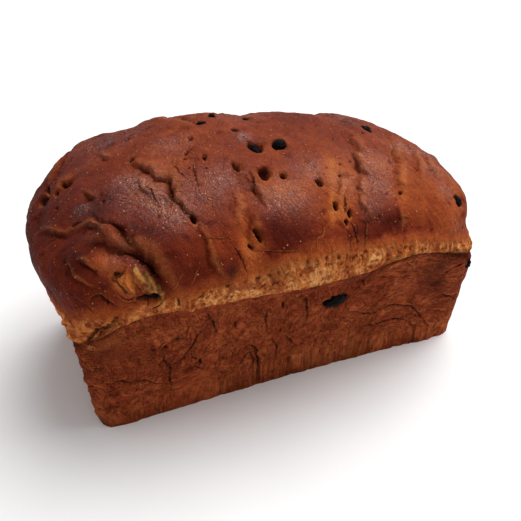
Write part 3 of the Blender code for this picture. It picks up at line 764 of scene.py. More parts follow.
def flow_of(places):
    """Coordinates that are short across the flow of the dough and stretched along it."""
    x, y, z = places.T
    hill = z - HILL_RISE * bell(x - HILL_X, HILL_WIDTH)
    turn_x = x - TURN_X
    turn_z = z - TURN_Z
    far = np.hypot(turn_x, turn_z)
    round_turn = np.arctan2(turn_z, turn_x)
    to_right = smooth_step(x, 0.020, 0.056)
    to_left = smooth_step(-x, 0.034, 0.072)
    low = smooth_step(along(x, BAND_FOOT) - z, -0.002, 0.004)
    to_right = to_right * low
    to_left = to_left * low
    upright = 1 - to_right - to_left
    across = upright * (x + 0.5 * y) + to_right * (hill - HILL_LEVEL) + to_left * (far - TURN_RADIUS)
    across = across + FLOW_WANDER * lumps(places, 0.011, 151.0)
    down = upright * (z - y) + to_right * (x - HILL_START) + to_left * (TURN_START + TURN_RUN * round_turn)
    return np.stack((across, FLOW_DEPTH * y, FLOW_STRETCH * down), axis=1)


class Crust:
    """The crust's points while they are shaped: their height over the plain form, and their marks."""

    def __init__(self, places):
        self.places = places
        self.normals = crust_normals(places)
        self.flow = flow_of(places)
        self.height = np.zeros(len(places))
        self.shift = np.zeros_like(places)
        self.marks = {name: np.zeros(len(places)) for name in MARKS}
        self.marks["crack"][:] = FAR_OFF

    def near(self, point, reach):
        return np.flatnonzero((np.abs(self.places - point) < reach).all(axis=1))

    def mark(self, name, at, values):
        """Raises a mark where it is lower than the values."""
        held = self.marks[name]
        held[at] = np.maximum(held[at], values)


def follow(crust, points, reach):
    """The points near a course: which they are, their distance to its left, and how far along they lie."""
    course = smooth_course(points)
    runs = np.gradient(course, axis=0)
    runs /= np.linalg.norm(runs, axis=1)[:, None]
    low = course.min(axis=0) - reach
    high = course.max(axis=0) + reach
    at = np.flatnonzero(((crust.places > low) & (crust.places < high)).all(axis=1))
    gaps = np.linalg.norm(crust.places[at, None, :] - course[None, :, :], axis=2)
    nearest = gaps.argmin(axis=1)
    close = gaps[np.arange(len(at)), nearest] < reach
    at = at[close]
    nearest = nearest[close]
    left = np.cross(crust.normals[at], runs[nearest])
    left /= np.linalg.norm(left, axis=1)[:, None]
    offset = crust.places[at] - course[nearest]
    side = (offset * left).sum(axis=1)
    last = len(course) - 1
    ahead = (offset * runs[nearest]).sum(axis=1)
    beyond = np.where((nearest == 0) | (nearest == last), ahead, 0)
    t = np.clip(nearest / last, 0, 1)
    return at, side, beyond, t, left


def set_crack(crust, at, side, shade_strength, pale):
    """Keeps the signed distance in millimetres to the nearest crack, how much shade is painted in it, and how
    pale its edge is.
    """
    nearer = np.abs(side) / MM < np.abs(crust.marks["crack"][at])
    at = at[nearer]
    crust.marks["crack"][at] = side[nearer] / MM
    crust.marks["crack_shade"][at] = shade_strength[nearer]
    crust.marks["crack_pale"][at] = pale[nearer]


def add_fold(crust, width, depth, lip, lean, shade_strength, points):
    """A groove with the dough on its left raised into a lip that leans over it."""
    at, side, beyond, t, left = follow(crust, points, 6 * width)
    places = crust.places[at]
    side = side + 0.0016 * lumps(places, 0.0080, 3.1) + 0.0010 * lumps(places, 0.0032, 8.7)
    fade = np.sin(math.pi * (0.06 + 0.88 * t)) ** 0.8 * bell(beyond, width)
    fade = fade * np.clip(1 + 0.55 * lumps(places, 0.009, 5.9), 0.3, 1.4)
    groove = 0.6 * bell(side, width) + 0.4 * bell(side, 0.45 * width)
    raised = smooth_step(side, 0, 0.8 * width) * bell(np.maximum(side - 0.8 * width, 0), 2.6 * width)
    crust.height[at] += fade * (lip * raised - depth * groove)
    pulled = smooth_step(side, -0.05 * width, 0.4 * width)
    pulled = pulled * bell(np.maximum(side - 0.4 * width, 0), 1.1 * width)
    crust.shift[at] -= left * (lean * fade * pulled)[:, None]
    # Painted shade in the groove, and a pale rim on the lip that is partly a painted highlight
    shade = 0.75 * bell(side + 0.2 * width, 0.60 * width)
    crust.mark("groove", at, np.clip(shade_strength * fade * shade, 0, 1))
    crust.mark("rim_and_highlight", at, 0.5 * np.clip(fade, 0, 1) * bell(side - 1.3 * width, 0.5 * width))


def add_valley(crust, width, depth, pale, points):
    """A soft, uneven valley, paler than the crust round it."""
    at, side, beyond, t, _ = follow(crust, points, 3 * width)
    places = crust.places[at]
    side = side + 0.35 * width * lumps(places, 0.014, 23.7)
    fade = np.sin(math.pi * (0.06 + 0.88 * t)) ** 0.5 * bell(beyond, width)
    fade = fade * (1 + 0.3 * lumps(places, 0.010, 29.1))
    crust.height[at] -= depth * fade * bell(side, width)
    crust.marks["tone"][at] -= pale * fade * bell(side, 0.6 * width)


def add_seam(crust, width, depth, pale, shade_strength, points):
    """A thin crack, or a seam that shows as a pale line."""
    at, side, beyond, t, _ = follow(crust, points, SEAM_BAND)
    places = crust.places[at]
    side = side + 0.0007 * lumps(places, 0.0042, 11.3) + 0.0004 * lumps(places, 0.0016, 2.9)
    broken = np.clip(0.90 + 0.7 * lumps(places, 0.005, 17.1), 0.2, 1)
    fade = np.sin(math.pi * (0.05 + 0.9 * t)) ** 0.5 * bell(beyond, width) * broken
    crust.height[at] -= depth * fade * (bell(side, width) - 0.6 * bell(side - 1.9 * width, width))
    reach = 1 - smooth_step(np.abs(side), 0.003, 0.006)
    # The crack's dark line is painted shade inside it; its pale edge is the skin's own colour
    set_crack(crust, at, side * CRACK_WIDTH / width, shade_strength * fade * reach, pale * fade * reach)


def standing_on(place, normal, turn):
    """The frame of a thing on the crust: Z out of it, and X turned from level by an angle in degrees."""
    level = Vector((0, 0, 1)).cross(normal)
    if level.length < 0.2:
        level = Vector((1, 0, 0))
    level = (level - normal * level.dot(normal)).normalized()
    frame = Matrix((level, normal.cross(level), normal)).transposed().to_4x4()
    return Matrix.Translation(place) @ frame @ Matrix.Rotation(math.radians(turn), 4, "Z")


def add_hollow(crust, place, normal, along_hole, length, width, depth, open_hole=True):
    """A steep hole in the crust with a soft dimple and painted shade inside, lighter on the side that faces
    the light if open, and a painted highlight on the rim that faces the light.
    """
    across_hole = np.cross(normal, along_hole)
    at = crust.near(place, 1.1 * length + 0.002)
    spots = crust.places[at]
    offset = spots - place
    first = offset @ along_hole + 0.10 * width * lumps(spots, 0.5 * width, 21.0)
    second = offset @ across_hole + 0.14 * width * lumps(spots, 0.5 * width, 24.0)
    depth_away = np.abs(offset @ normal)
    reach = np.hypot(first / (length / 2), second / (width / 2))
    reach = reach * (1 + 0.15 * lumps(spots, 0.8 * width, 27.0)) + 4 * smooth_step(depth_away, 0.006, 0.012)
    dimple = 1 - smooth_step(reach, 0.8, 1.9)
    hole = 1 - smooth_step(reach, 0.45, 1.05)
    crust.height[at] -= depth * (0.18 * dimple + 0.82 * hole)
    toward_light = (offset @ LIGHT_SIDE) / np.maximum(np.linalg.norm(offset, axis=1), TINY)
    lit = smooth_step(-toward_light, -0.1, 0.5) * smooth_step(width, 0.0028, 0.0042) * open_hole
    # Painted shade in the hole, lighter where its inner side faces the light
    shade = (1 - smooth_step(reach, 0.75, 1.10)) * (1 - 0.75 * lit)
    crust.mark("groove", at, np.clip(1.05 * shade, 0, 1))
    # A painted highlight on the rim that faces the light
    rim_and_highlight = 1.2 if open_hole else 0.6
    crust.mark("rim_and_highlight", at, rim_and_highlight * bell(reach - 1.0, 0.30) * np.clip(0.2 - toward_light, 0, 1))


def add_pit(crust, width, depth, first_end, second_end):
    """A hole between two ends."""
    ends = settle([first_end, second_end])
    place = settle([ends.mean(axis=0)])
    normal = crust_normals(place)[0]
    run = ends[1] - ends[0]
    length = max(float(np.linalg.norm(run)), width)
    run = run - normal * (run @ normal)
    add_hollow(crust, place[0], normal, run / np.linalg.norm(run), length, width, depth)


def add_pocket(crust, row):
    """The hollow that a raisin lies in."""
    length, width, thickness, sink, point, turn = row
    place = settle([point])
    normal = crust_normals(place)
    frame = standing_on(Vector(place[0]), Vector(normal[0]), turn)
    along_hole = np.array(frame.col[0])[:3]
    add_hollow(crust, place[0], normal[0], along_hole, length * POCKET_SPREAD, width * POCKET_SPREAD,
               thickness / 2 + sink, False)


def plain_height(places):
    """The broad swellings' height, which raisins and pits follow too."""
    centres = on_crust(np.array([row[2] for row in SWELLINGS]) - HEART)
    height = np.zeros(len(places))
    for (radius, lift, _), centre in zip(SWELLINGS, centres):
        height += lift * bell(np.linalg.norm(places - centre, axis=1), radius)
    return height


def add_bumps(crust):
    """The small bumps and dents of the table, each a little uneven."""
    for radius, lift, point in BUMPS:
        place = settle([point])[0]
        at = crust.near(place, 3 * radius)
        gap = np.linalg.norm(crust.places[at] - place, axis=1)
        uneven = 1 + 0.4 * lumps(crust.places[at], radius, 33.0)
        crust.height[at] += lift * bell(gap * uneven, radius)


def add_wall_wrinkles(crust):
    """Wrinkles in the tin's walls that follow the flow of the dough, and a ragged edge round the base."""
    x, _, z = crust.places.T
    on_wall = smooth_step(along(x, BAND_FOOT) - z, 0, 0.004)
    flow = crust.flow
    slow = WALL_SWELL * lumps(crust.places, 0.014, 31.0)
    slow = slow + WALL_SMALL_SWELL * lumps(crust.places, 0.0062, 35.0)
    ropes = lumps(flow, 0.0034, 37.0)
    worms = np.abs(lumps(flow, 0.0062, 41.0))
    thin_worms = np.abs(lumps(flow, 0.0036, 44.0))
    where = smooth_step(lumps(crust.places, 0.016, 43.0), -0.25, 0.20)
    elsewhere = smooth_step(lumps(crust.places, 0.012, 46.0), 0.0, 0.3)
    wrinkle = -WALL_WRINKLE * np.maximum(1 - worms / 0.16, 0) * where
    wrinkle -= WALL_THIN_WRINKLE * np.maximum(1 - thin_worms / 0.20, 0) * elsewhere
    crust.height += on_wall * (slow + WALL_ROPES * ropes + wrinkle)
    # Painted shade in the wall's creases
    crease = np.maximum(1 - worms / 0.10, 0) * where + 0.7 * np.maximum(1 - thin_worms / 0.12, 0) * elsewhere
    crust.mark("groove", slice(None), 0.28 * on_wall * np.clip(crease, 0, 1))
    low = smooth_step(0.007 - z, 0, 0.007)
    ragged = np.minimum(lumps(crust.places, 0.0090, 47.0) + 0.7 * lumps(crust.places, 0.0036, 53.0), 0.25)
    crust.height += RAGGED_FOOT * low * (ragged - 0.25)
    crust.marks["foot"][:] = smooth_step(0.036 - z + 0.006 * lumps(crust.places, 0.008, 55.0), 0, 0.036)
    rough = smooth_step(-x, 0.090, 0.108) * smooth_step(0.075 - z, 0, 0.02)
    crumbs = lumps(crust.places, 0.0046, 57.0) + 0.6 * lumps(crust.places, 0.0022, 59.0)
    crust.height += CRUMBS * rough * (crumbs - 0.4)


def add_tear(crust):
    """The torn rim: the band starts with a thick edge over the wall, rough and full of pores."""
    x, _, z = crust.places.T
    ragged = 0.0012 * lumps(crust.places, 0.009, 79.0) + 0.0006 * lumps(crust.places, 0.0030, 83.0)
    over_foot = z - along(x, BAND_FOOT) + 0.35 * ragged
    over_band = z - along(x, BAND_TOP)
    in_band = smooth_step(over_foot, 0, 0.002) * smooth_step(-over_band, -0.001, 0.004)
    above = smooth_step(over_foot, -0.0006, 0.0010)
    below = smooth_step(-over_foot, -0.0004, 0.0014)
    crust.height += BAND_EDGE * above * bell(np.maximum(over_foot, 0), 0.008)
    crust.height -= BAND_EDGE * below * bell(np.minimum(over_foot, 0), 0.005)
    # Painted shadow just under the band's thick edge
    crust.mark("groove", slice(None), 0.45 * bell(over_foot + 0.0012, 0.0012))
    upright = lumps(crust.flow, 0.0026, 61.0)
    lumpy = lumps(crust.places, 0.0068, 67.0)
    fine = lumps(crust.places, 0.0020, 71.0)
    crust.height += in_band * (BAND_STRANDS * upright + BAND_LUMPS * lumpy + BAND_GRAIN * fine)
    blisters = smooth_step(lumps(crust.places, 0.0042, 69.0), 0.20, 0.45)
    pores = smooth_step(lumps(crust.places, 0.0024, 73.0, (1, 1, 0.7)), 0.36, 0.52)
    crust.height += in_band * (BAND_BLISTERS * blisters - BAND_PORES * pores)
    # Painted shade inside the band's pores
    crust.mark("groove", slice(None), 0.55 * in_band * pores)
    ledge = bell(over_band + 0.0004 + 1.6 * ragged, 0.0010)
    ledge = ledge * smooth_step(lumps(crust.places, 0.010, 75.0), -0.2, 0.2)
    crust.height += BAND_LEDGE * ledge
    crust.marks["over_foot"][:] = over_foot / MM
    crust.marks["over_band"][:] = (over_band + 2.0 * ragged) / MM - TORN_RISE * crust.marks["torn"]


def add_skin(crust):
    """The crown's uneven skin: broad lumps, creased wrinkles and crumpled glaze."""
    x, _, z = crust.places.T
    on_crown = smooth_step(z - along(x, BAND_TOP), -0.002, 0.006)
    broad = CROWN_SWELL * lumps(crust.places, 0.026, 91.0) + CROWN_LUMPS * lumps(crust.places, 0.012, 97.0)
    small = CROWN_SMALL_LUMPS * lumps(crust.places, 0.0058, 101.0)
    small = small + CROWN_GRAIN * lumps(crust.places, 0.0026, 103.0)
    lines = np.abs(lumps(crust.flow, 0.0085, 107.0))
    where = smooth_step(lumps(crust.places, 0.022, 109.0), 0.0, 0.35)
    crease = -CROWN_CREASE * np.maximum(1 - lines / 0.14, 0) * where
    crumples = np.abs(lumps(crust.places, 0.0042, 113.0))
    crumple = -CROWN_CRUMPLE * np.maximum(1 - crumples / 0.22, 0) * crust.marks["glaze"]
    crust.height += on_crown * (broad + small + crease + crumple)
    dimples = smooth_step(lumps(crust.places, 0.0048, 117.0), 0.42, 0.62)
    crust.height -= CROWN_DIMPLE * on_crown * dimples
    # Painted shade in the dimples
    crust.marks["tone"] += DIMPLE_SHADE * on_crown * dimples


def add_tones(crust):
    """The marks that the tables of tones and painted shading, gloss, stains, dough and torn patches put
    on the crust.
    """
    for name, rows in (("tone", TONES_AND_SHADING), ("glaze", GLAZED), ("stain", STAINS), ("torn", TORN_PATCHES)):
        for radius, strength, point in rows:
            gap = np.linalg.norm(crust.places - settle([point]), axis=1)
            crust.marks[name] += strength * bell(gap, radius)
    for radius, point in BARE_DOUGH:
        gap = np.linalg.norm(crust.places - settle([point]), axis=1)
        crust.mark("dough", slice(None), bell(gap, radius))
    x, y, z = crust.places.T
    over_band = (z - along(x, BAND_TOP)) / MM
    cheek = smooth_step(over_band, 1.0, 7.0) * (1 - smooth_step(over_band, 10.0, 24.0))
    toward_right = smooth_step(x, 0.045, 0.080)
    front = smooth_step(-y, 0.02, 0.05)
    crust.marks["tone"] += CHEEK_TONE * cheek * (1 - 0.8 * toward_right * front)
    crust.marks["glaze"] *= smooth_step(crust.normals[:, 2], 0.20, 0.55)
    np.clip(crust.marks["glaze"], 0, 1, out=crust.marks["glaze"])
    upward = smooth_step(crust.normals[:, 2], 0.45, 0.85) * smooth_step(over_band, 16.0, 30.0)
    crust.marks["top_glaze"][:] = TOP_GLAZE * upward * smooth_step(x, -0.118, -0.090)


def shape_crust(places):
    """All relief and marks of the crust at these places."""
    crust = Crust(places)
    add_tones(crust)
    crust.height += plain_height(places)
    add_bumps(crust)
    add_wall_wrinkles(crust)
    add_tear(crust)
    add_skin(crust)
    for width, depth, pale, points in VALLEYS:
        add_valley(crust, width, depth, pale, points)
    for _, width, depth, lip, lean, shade_strength, points in FOLDS:
        add_fold(crust, width, depth, lip, lean, shade_strength, points)
    for _, width, depth, pale, shade_strength, points in SEAMS:
        add_seam(crust, width, depth, pale, shade_strength, points)
    for _, width, depth, first_end, second_end in PITS:
        add_pit(crust, width, depth, first_end, second_end)
    for row in RAISINS:
        add_pocket(crust, row)
    np.clip(crust.marks["tone"], -1, 1, out=crust.marks["tone"])
    return crust


def cell_shell(cells):
    """The points and quads of a box from -1 to 1 whose sides are cut into cells along X, Y and Z."""
    sides = []
    for axis in range(3):
        u, v = [other for other in range(3) if other != axis]
        across, up = np.meshgrid(np.arange(cells[u]), np.arange(cells[v]), indexing="ij")
        for end in (0, 1):
            corners = []
            for step_u, step_v in ((0, 0), (1, 0), (1, 1), (0, 1)):
                corner = np.zeros(across.shape + (3,), int)
                corner[..., axis] = cells[axis] * end
                corner[..., u] = across + step_u
                corner[..., v] = up + step_v
                corners.append(corner.reshape(-1, 3))
            side = np.stack(corners, axis=1)
            if (end == 1) == (axis == 1):
                side = side[:, ::-1]
            sides.append(side)
    quads = np.concatenate(sides)
    spread = np.array(cells) + 1
    keys = (quads[..., 0] * spread[1] + quads[..., 1]) * spread[2] + quads[..., 2]
    used, where = np.unique(keys, return_inverse=True)
    rows = used // spread[2]
    steps = np.stack((rows // spread[1], rows % spread[1], used % spread[2]), axis=1)
    return -1 + 2 * steps / np.array(cells), where.reshape(keys.shape)


def refine(box, wanted):
    """Halves the edges between wanted points."""
    chosen = set(np.flatnonzero(wanted).tolist())
    box.verts.index_update()
    edges = [edge for edge in box.edges if edge.verts[0].index in chosen and edge.verts[1].index in chosen]
    bmesh.ops.subdivide_edges(box, edges=edges, cuts=1, use_grid_fill=True)


def box_points(box):
    return np.array([vertex.co for vertex in box.verts])


def near_detail(places, spare):
    """Which places lie near a fold, seam, pit or raisin."""
    wanted = np.zeros(len(places), bool)
    lines = [(FOLD_REACH * row[1], row[-1]) for row in FOLDS]
    lines += [(SEAM_REACH * row[1], row[-1]) for row in SEAMS]
    for reach, points in lines:
        reach = reach + spare
        course = smooth_course(points, 4)
        low = course.min(axis=0) - reach
        high = course.max(axis=0) + reach
        at = np.flatnonzero(((places > low) & (places < high)).all(axis=1))
        gaps = np.linalg.norm(places[at, None, :] - course[None, :, :], axis=2).min(axis=1)
        wanted[at[gaps < reach]] = True
    spots = [(0.6 * row[1] + 0.003, row[3]) for row in PITS] + [(row[0], row[4]) for row in RAISINS]
    spots += [(0.6 * row[1] + 0.003, row[4]) for row in PITS]
    for length, point in spots:
        gap = np.linalg.norm(places - settle([point]), axis=1)
        wanted |= gap < PIT_REACH * length + spare
    return wanted


def crust_box():
    """The box of cells, cut finer where the loaf is seen most and finer still at its details."""
    points, quads = cell_shell(CELLS)
    mesh = bpy.data.meshes.new("cells")
    mesh.from_pydata(points.tolist(), [], quads.tolist())
    box = bmesh.new()
    box.from_mesh(mesh)
    bpy.data.meshes.remove(mesh)
    points = box_points(box)
    refine(box, (points[:, 2] > -1 + TINY) & (points[:, 1] < 1 - TINY) | (points[:, 2] > 0.2))
    places = on_crust(box_points(box) * BOX)
    x, y, z = places.T
    torn = (y < -0.02) & (z > along(x, BAND_FOOT) - 0.003) & (z < along(x, BAND_TOP) + 0.001)
    refine(box, (near_detail(places, DETAIL_SPARE) | torn) & (z > 0.004))
    return box


def keep_inside(places, low, high, spare=0.0001):
    return np.clip(places, np.asarray(low) + spare, np.asarray(high) - spare)


def make_crust(material):
    """The whole loaf as one finely shaped piece with a flat base."""
    box = crust_box()
    spread = box_points(box)
    crust = shape_crust(on_crust(spread * BOX))
    places = crust.places + crust.normals * (crust.height - UNDER_SKIN)[:, None] + crust.shift
    places[(spread[:, 2] < -1 + TINY) | (places[:, 2] < TINY), 2] = 0
    places = keep_inside(places, *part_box("loaf"))
    places[spread[:, 2] < -1 + TINY, 2] = 0
    for vertex, place in zip(box.verts, places):
        vertex.co = place
    flow_layer = box.verts.layers.float_vector.new("flow")
    layers = {name: box.verts.layers.float.new(name) for name in MARKS}
    for vertex, way in zip(box.verts, crust.flow.tolist()):
        vertex[flow_layer] = way
    for name, layer in layers.items():
        for vertex, value in zip(box.verts, crust.marks[name].tolist()):
            vertex[layer] = value
    underside = [face for face in box.faces if all(vertex.co.z == 0 for vertex in face.verts)]
    bmesh.ops.dissolve_faces(box, faces=underside, use_verts=False)
    mesh = bpy.data.meshes.new("crust")
    box.to_mesh(mesh)
    box.free()
    mesh.shade_smooth()
    mesh.materials.append(material)
    return add_piece("crust", mesh)


def add_piece(name, mesh):
    piece = bpy.data.objects.new(name, mesh)
    bpy.context.scene.collection.objects.link(piece)
    return piece


def make_raisin(number, row, material):
    """A dried raisin: a flattened ball whose skin is drawn in along deep wrinkles."""
    length, width, thickness, _, point, turn = row
    normal = Vector(crust_normals(settle([point]))[0])
    low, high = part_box(f"raisin_{number}")
    middle = (Vector(low) + Vector(high)) / 2
    frame = standing_on(middle, normal, turn)
    shape = bmesh.new()
    bmesh.ops.create_icosphere(shape, subdivisions=RAISIN_CUTS, radius=1.0)
    seed = Vector((number * SEED_SPREAD, 0, 0))
    for vertex in shape.verts:
        way = vertex.co.copy()
        long_fold = abs(noise.noise(Vector(each * part for each, part in zip(LONG_WRINKLES, way)) + seed))
        small_fold = abs(noise.noise(Vector(each * part for each, part in zip(SMALL_WRINKLES, way)) - seed))
        swell = 0.86 + 0.22 * min(long_fold * 2.2, 1) + 0.07 * min(small_fold * 2.5, 1) - 0.1
        half = (length / 2, width / 2, thickness / 2)
        vertex.co = frame @ Vector(along_axis * swell * size for along_axis, size in zip(way, half))
    mesh = bpy.data.meshes.new(f"dried_raisin_{number}")
    shape.to_mesh(mesh)
    shape.free()
    mesh.shade_smooth()
    mesh.materials.append(material)
    return add_piece(f"dried_raisin_{number}", mesh)


class Shader:
    """Short ways to add and join the nodes of a material."""

    def __init__(self, name):
        self.material = bpy.data.materials.new(name)
        self.material.use_nodes = True
        self.tree = self.material.node_tree
        self.surface = self.tree.nodes["Principled BSDF"]
        self.places = self.node("ShaderNodeTexCoord").outputs["Object"]

    def node(self, kind, **settings):
        made = self.tree.nodes.new(kind)
        for name, value in settings.items():
            setattr(made, name, value)
        return made

    def feed(self, socket, value):
        """Joins another node's output to a socket, or sets a plain value on it."""
        if isinstance(value, bpy.types.NodeSocket):
            self.tree.links.new(value, socket)
        else:
            socket.default_value = value

    def mark(self, name):
        return self.node("ShaderNodeAttribute", attribute_name=name).outputs["Fac"]

    def maths(self, operation, *values, clamp=False):
        made = self.node("ShaderNodeMath", operation=operation, use_clamp=clamp)
        for socket, value in zip(made.inputs, values):
            self.feed(socket, value)
        return made.outputs[0]

    def gap_from_half(self, value):
        return self.maths("ABSOLUTE", self.maths("SUBTRACT", value, 0.5))

    def span(self, value, low, high, out_low=0.0, out_high=1.0):
        """Maps a value smoothly from one span to another, held at both ends."""
        made = self.node("ShaderNodeMapRange", interpolation_type="SMOOTHSTEP")
        for name, each in (("Value", value), ("From Min", low), ("From Max", high),
                           ("To Min", out_low), ("To Max", out_high)):
            self.feed(made.inputs[name], each)
        return made.outputs["Result"]

    def vector_mark(self, name):
        return self.node("ShaderNodeAttribute", attribute_name=name).outputs["Vector"]

    def clouds(self, size, detail=3.0, roughness=0.55, places=None, distortion=0.0):
        """Noise from 0 to 1 with lumps about the given size."""
        made = self.node("ShaderNodeTexNoise")
        self.feed(made.inputs["Vector"], places or self.places)
        made.inputs["Scale"].default_value = 1 / size
        made.inputs["Detail"].default_value = detail
        made.inputs["Roughness"].default_value = roughness
        made.inputs["Distortion"].default_value = distortion
        return made.outputs["Fac"]

    def spots(self, size, radius, share):
        """Round spots of a radius, as part of the cell size, in a share of the cells."""
        made = self.node("ShaderNodeTexVoronoi")
        self.feed(made.inputs["Vector"], self.places)
        made.inputs["Scale"].default_value = 1 / size
        spot = self.span(made.outputs["Distance"], radius, 0.6 * radius)
        chosen = self.node("ShaderNodeSeparateColor")
        self.feed(chosen.inputs["Color"], made.outputs["Color"])
        kept = self.maths("LESS_THAN", chosen.outputs["Red"], share)
        return self.maths("MULTIPLY", spot, kept)

    def blend(self, factor, first, second):
        """The first colour, with the second over it by a factor."""
        made = self.node("ShaderNodeMix", data_type="RGBA")
        for place, value in ((0, factor), (6, first), (7, second)):
            self.feed(made.inputs[place], value)
        return made.outputs[2]

    def scaled(self, colour, factor):
        """A colour made darker or lighter by a factor."""
        made = self.node("ShaderNodeVectorMath", operation="SCALE")
        self.feed(made.inputs[0], colour)
        self.feed(made.inputs["Scale"], factor)
        return made.outputs[0]

    def ramp(self, value, stops):
        made = self.node("ShaderNodeValToRGB")
        self.feed(made.inputs["Fac"], value)
        elements = made.color_ramp.elements
        elements[0].position, elements[0].color = stops[0]
        elements[1].position, elements[1].color = stops[-1]
        for position, colour in stops[1:-1]:
            elements.new(position).color = colour
        return made.outputs["Color"]

    def bump(self, height, distance, below=None):
        made = self.node("ShaderNodeBump")
        made.inputs["Distance"].default_value = distance
        self.feed(made.inputs["Height"], height)
        if below is not None:
            self.feed(made.inputs["Normal"], below)
        return made.outputs["Normal"]


def crust_material():
    """Glazed mahogany crown, pale torn band and matt wall, with frayed lines between them."""
    shader = Shader("loaf_crust")
    flow = shader.vector_mark("flow")
    over_foot = shader.mark("over_foot")
    over_band = shader.mark("over_band")
    groove = shader.mark("groove")
    rim_and_highlight = shader.mark("rim_and_highlight")
    tone = shader.mark("tone")
    glaze = shader.mark("glaze")
    stain = shader.mark("stain")
    dough = shader.mark("dough")
    torn_patch = shader.mark("torn")
    foot = shader.mark("foot")

    # Noise shared by colour, roughness and bump
    blotches = shader.clouds(0.018, 4, 0.6)
    mottle = shader.clouds(0.0050, 5, 0.65)
    grain = shader.clouds(0.0014, 3, 0.6)
    powder = shader.clouds(0.00075, 2, 0.7)
    strands = shader.clouds(0.0030, 4, 0.62, flow, 0.6)
    fibres = shader.clouds(0.0013, 3, 0.6, flow, 0.4)
    specks = shader.spots(0.0030, 0.10, 0.40)
    sparks = shader.spots(0.0024, 0.19, 0.45)
    painted_glints = shader.spots(0.0012, 0.34, 0.40)

    # Creases that follow the flow: a fine dark line of painted shade in a soft bank, large and small
    creases = shader.gap_from_half(shader.clouds(0.0056, 2, 0.5, flow, 1.2))
    small_creases = shader.gap_from_half(shader.clouds(0.0028, 2, 0.5, flow, 1.0))
    large_here = shader.span(blotches, 0.40, 0.54)
    small_here = shader.span(blotches, 0.56, 0.44)
    large_crease_shade = shader.maths("MULTIPLY", shader.span(creases, 0.0, 0.020, 1.0, 0.0), large_here)
    small_crease_shade = shader.maths("MULTIPLY", shader.span(small_creases, 0.0, 0.024, 1.0, 0.0), small_here)
    lines = shader.maths("MAXIMUM", large_crease_shade, small_crease_shade)
    banks = shader.maths("MULTIPLY", shader.span(creases, 0.0, 0.08), large_here)
    small_banks = shader.maths("MULTIPLY", shader.span(small_creases, 0.0, 0.09), small_here)

    # Cracks: a thin dark line of painted shade with a pale edge beside it
    wobble = shader.maths("MULTIPLY", shader.maths("SUBTRACT", grain, 0.5), 1.8)
    crack = shader.maths("ADD", shader.mark("crack"), wobble)
    crack_shade_line = shader.span(shader.maths("ABSOLUTE", crack), 0.10, 0.85, 1.0, 0.0)
    crack_shade = shader.maths("MULTIPLY", shader.mark("crack_shade"), 1.7, clamp=True)
    crack_shade_line = shader.maths("MULTIPLY", crack_shade_line, crack_shade, clamp=True)
    beside_crack = shader.maths("ABSOLUTE", shader.maths("SUBTRACT", crack, 0.8))
    pale_line = shader.span(beside_crack, 0.1, 0.7, 1.0, 0.0)
    pale_line = shader.maths("MULTIPLY", pale_line,
                             shader.maths("MULTIPLY", shader.mark("crack_pale"), 1.3), clamp=True)

    # Crown
    wander = shader.maths("MULTIPLY_ADD", shader.maths("SUBTRACT", blotches, 0.5), 1.2, tone)
    wander = shader.maths("MULTIPLY_ADD", shader.maths("SUBTRACT", mottle, 0.5), 0.8, wander)
    wander = shader.maths("MULTIPLY_ADD", shader.maths("SUBTRACT", strands, 0.5), 0.4, wander)
    wander = shader.maths("MULTIPLY_ADD", shader.maths("SUBTRACT", grain, 0.5), 0.5, wander)
    baked = shader.ramp(shader.maths("MULTIPLY_ADD", wander, 0.5, 0.5), (
        (0.00, (0.500, 0.140, 0.030, 1)),
        (0.25, (0.330, 0.066, 0.015, 1)),
        (0.50, (0.210, 0.031, 0.008, 1)),
        (0.78, (0.120, 0.013, 0.004, 1)),
        (1.00, (0.065, 0.006, 0.002, 1))))
    baked = shader.blend(shader.maths("MULTIPLY", specks, 0.5), baked, SPECK)
    # Rims and lips: partly a paler stretched skin, partly a painted highlight
    rim_and_highlight_share = shader.maths("MULTIPLY", rim_and_highlight, shader.span(mottle, 0.3, 0.65, 0.4, 1.0), clamp=True)
    rim_and_highlight_share = shader.maths("MAXIMUM", rim_and_highlight_share, pale_line)
    baked = shader.blend(shader.maths("MULTIPLY", rim_and_highlight_share, 0.8), baked, PALE_RIM_AND_HIGHLIGHT)

    # Band
    torn = shader.maths("MULTIPLY_ADD", shader.maths("SUBTRACT", strands, 0.5), 0.9, mottle)
    torn = shader.maths("MULTIPLY_ADD", shader.maths("SUBTRACT", blotches, 0.5), 1.0, torn)
    torn = shader.maths("MULTIPLY_ADD", shader.maths("SUBTRACT", fibres, 0.5), 0.6, torn)
    torn = shader.ramp(torn, (
        (0.22, (0.190, 0.036, 0.012, 1)),
        (0.38, (0.400, 0.098, 0.024, 1)),
        (0.52, (0.580, 0.180, 0.046, 1)),
        (0.76, (0.800, 0.350, 0.120, 1))))
    patches = shader.clouds(0.0075, 3, 0.6)
    torn = shader.blend(shader.span(patches, 0.55, 0.63, 0.0, 0.75), torn, RED_PATCH)
    ridge = shader.span(shader.maths("ABSOLUTE", shader.maths("ADD", over_band, 1.6)), 0.2, 1.4, 1.0, 0.0)
    ridge = shader.maths("MULTIPLY", ridge, shader.span(strands, 0.42, 0.56))
    torn = shader.blend(shader.maths("MULTIPLY", ridge, 0.55), torn, BAND_RIDGE)
    # Painted shade in the band's pores
    pores = shader.spots(0.0030, 0.17, 0.30)
    torn = shader.blend(shader.maths("MULTIPLY", pores, 0.6), torn, PORE_SHADE)

    # Wall
    wall_mix = shader.maths("MULTIPLY_ADD", shader.maths("SUBTRACT", blotches, 0.5), 0.8, mottle)
    wall_mix = shader.maths("MULTIPLY_ADD", shader.maths("SUBTRACT", fibres, 0.5), 0.7, wall_mix)
    wall_mix = shader.maths("MULTIPLY_ADD", foot, 0.24, wall_mix)
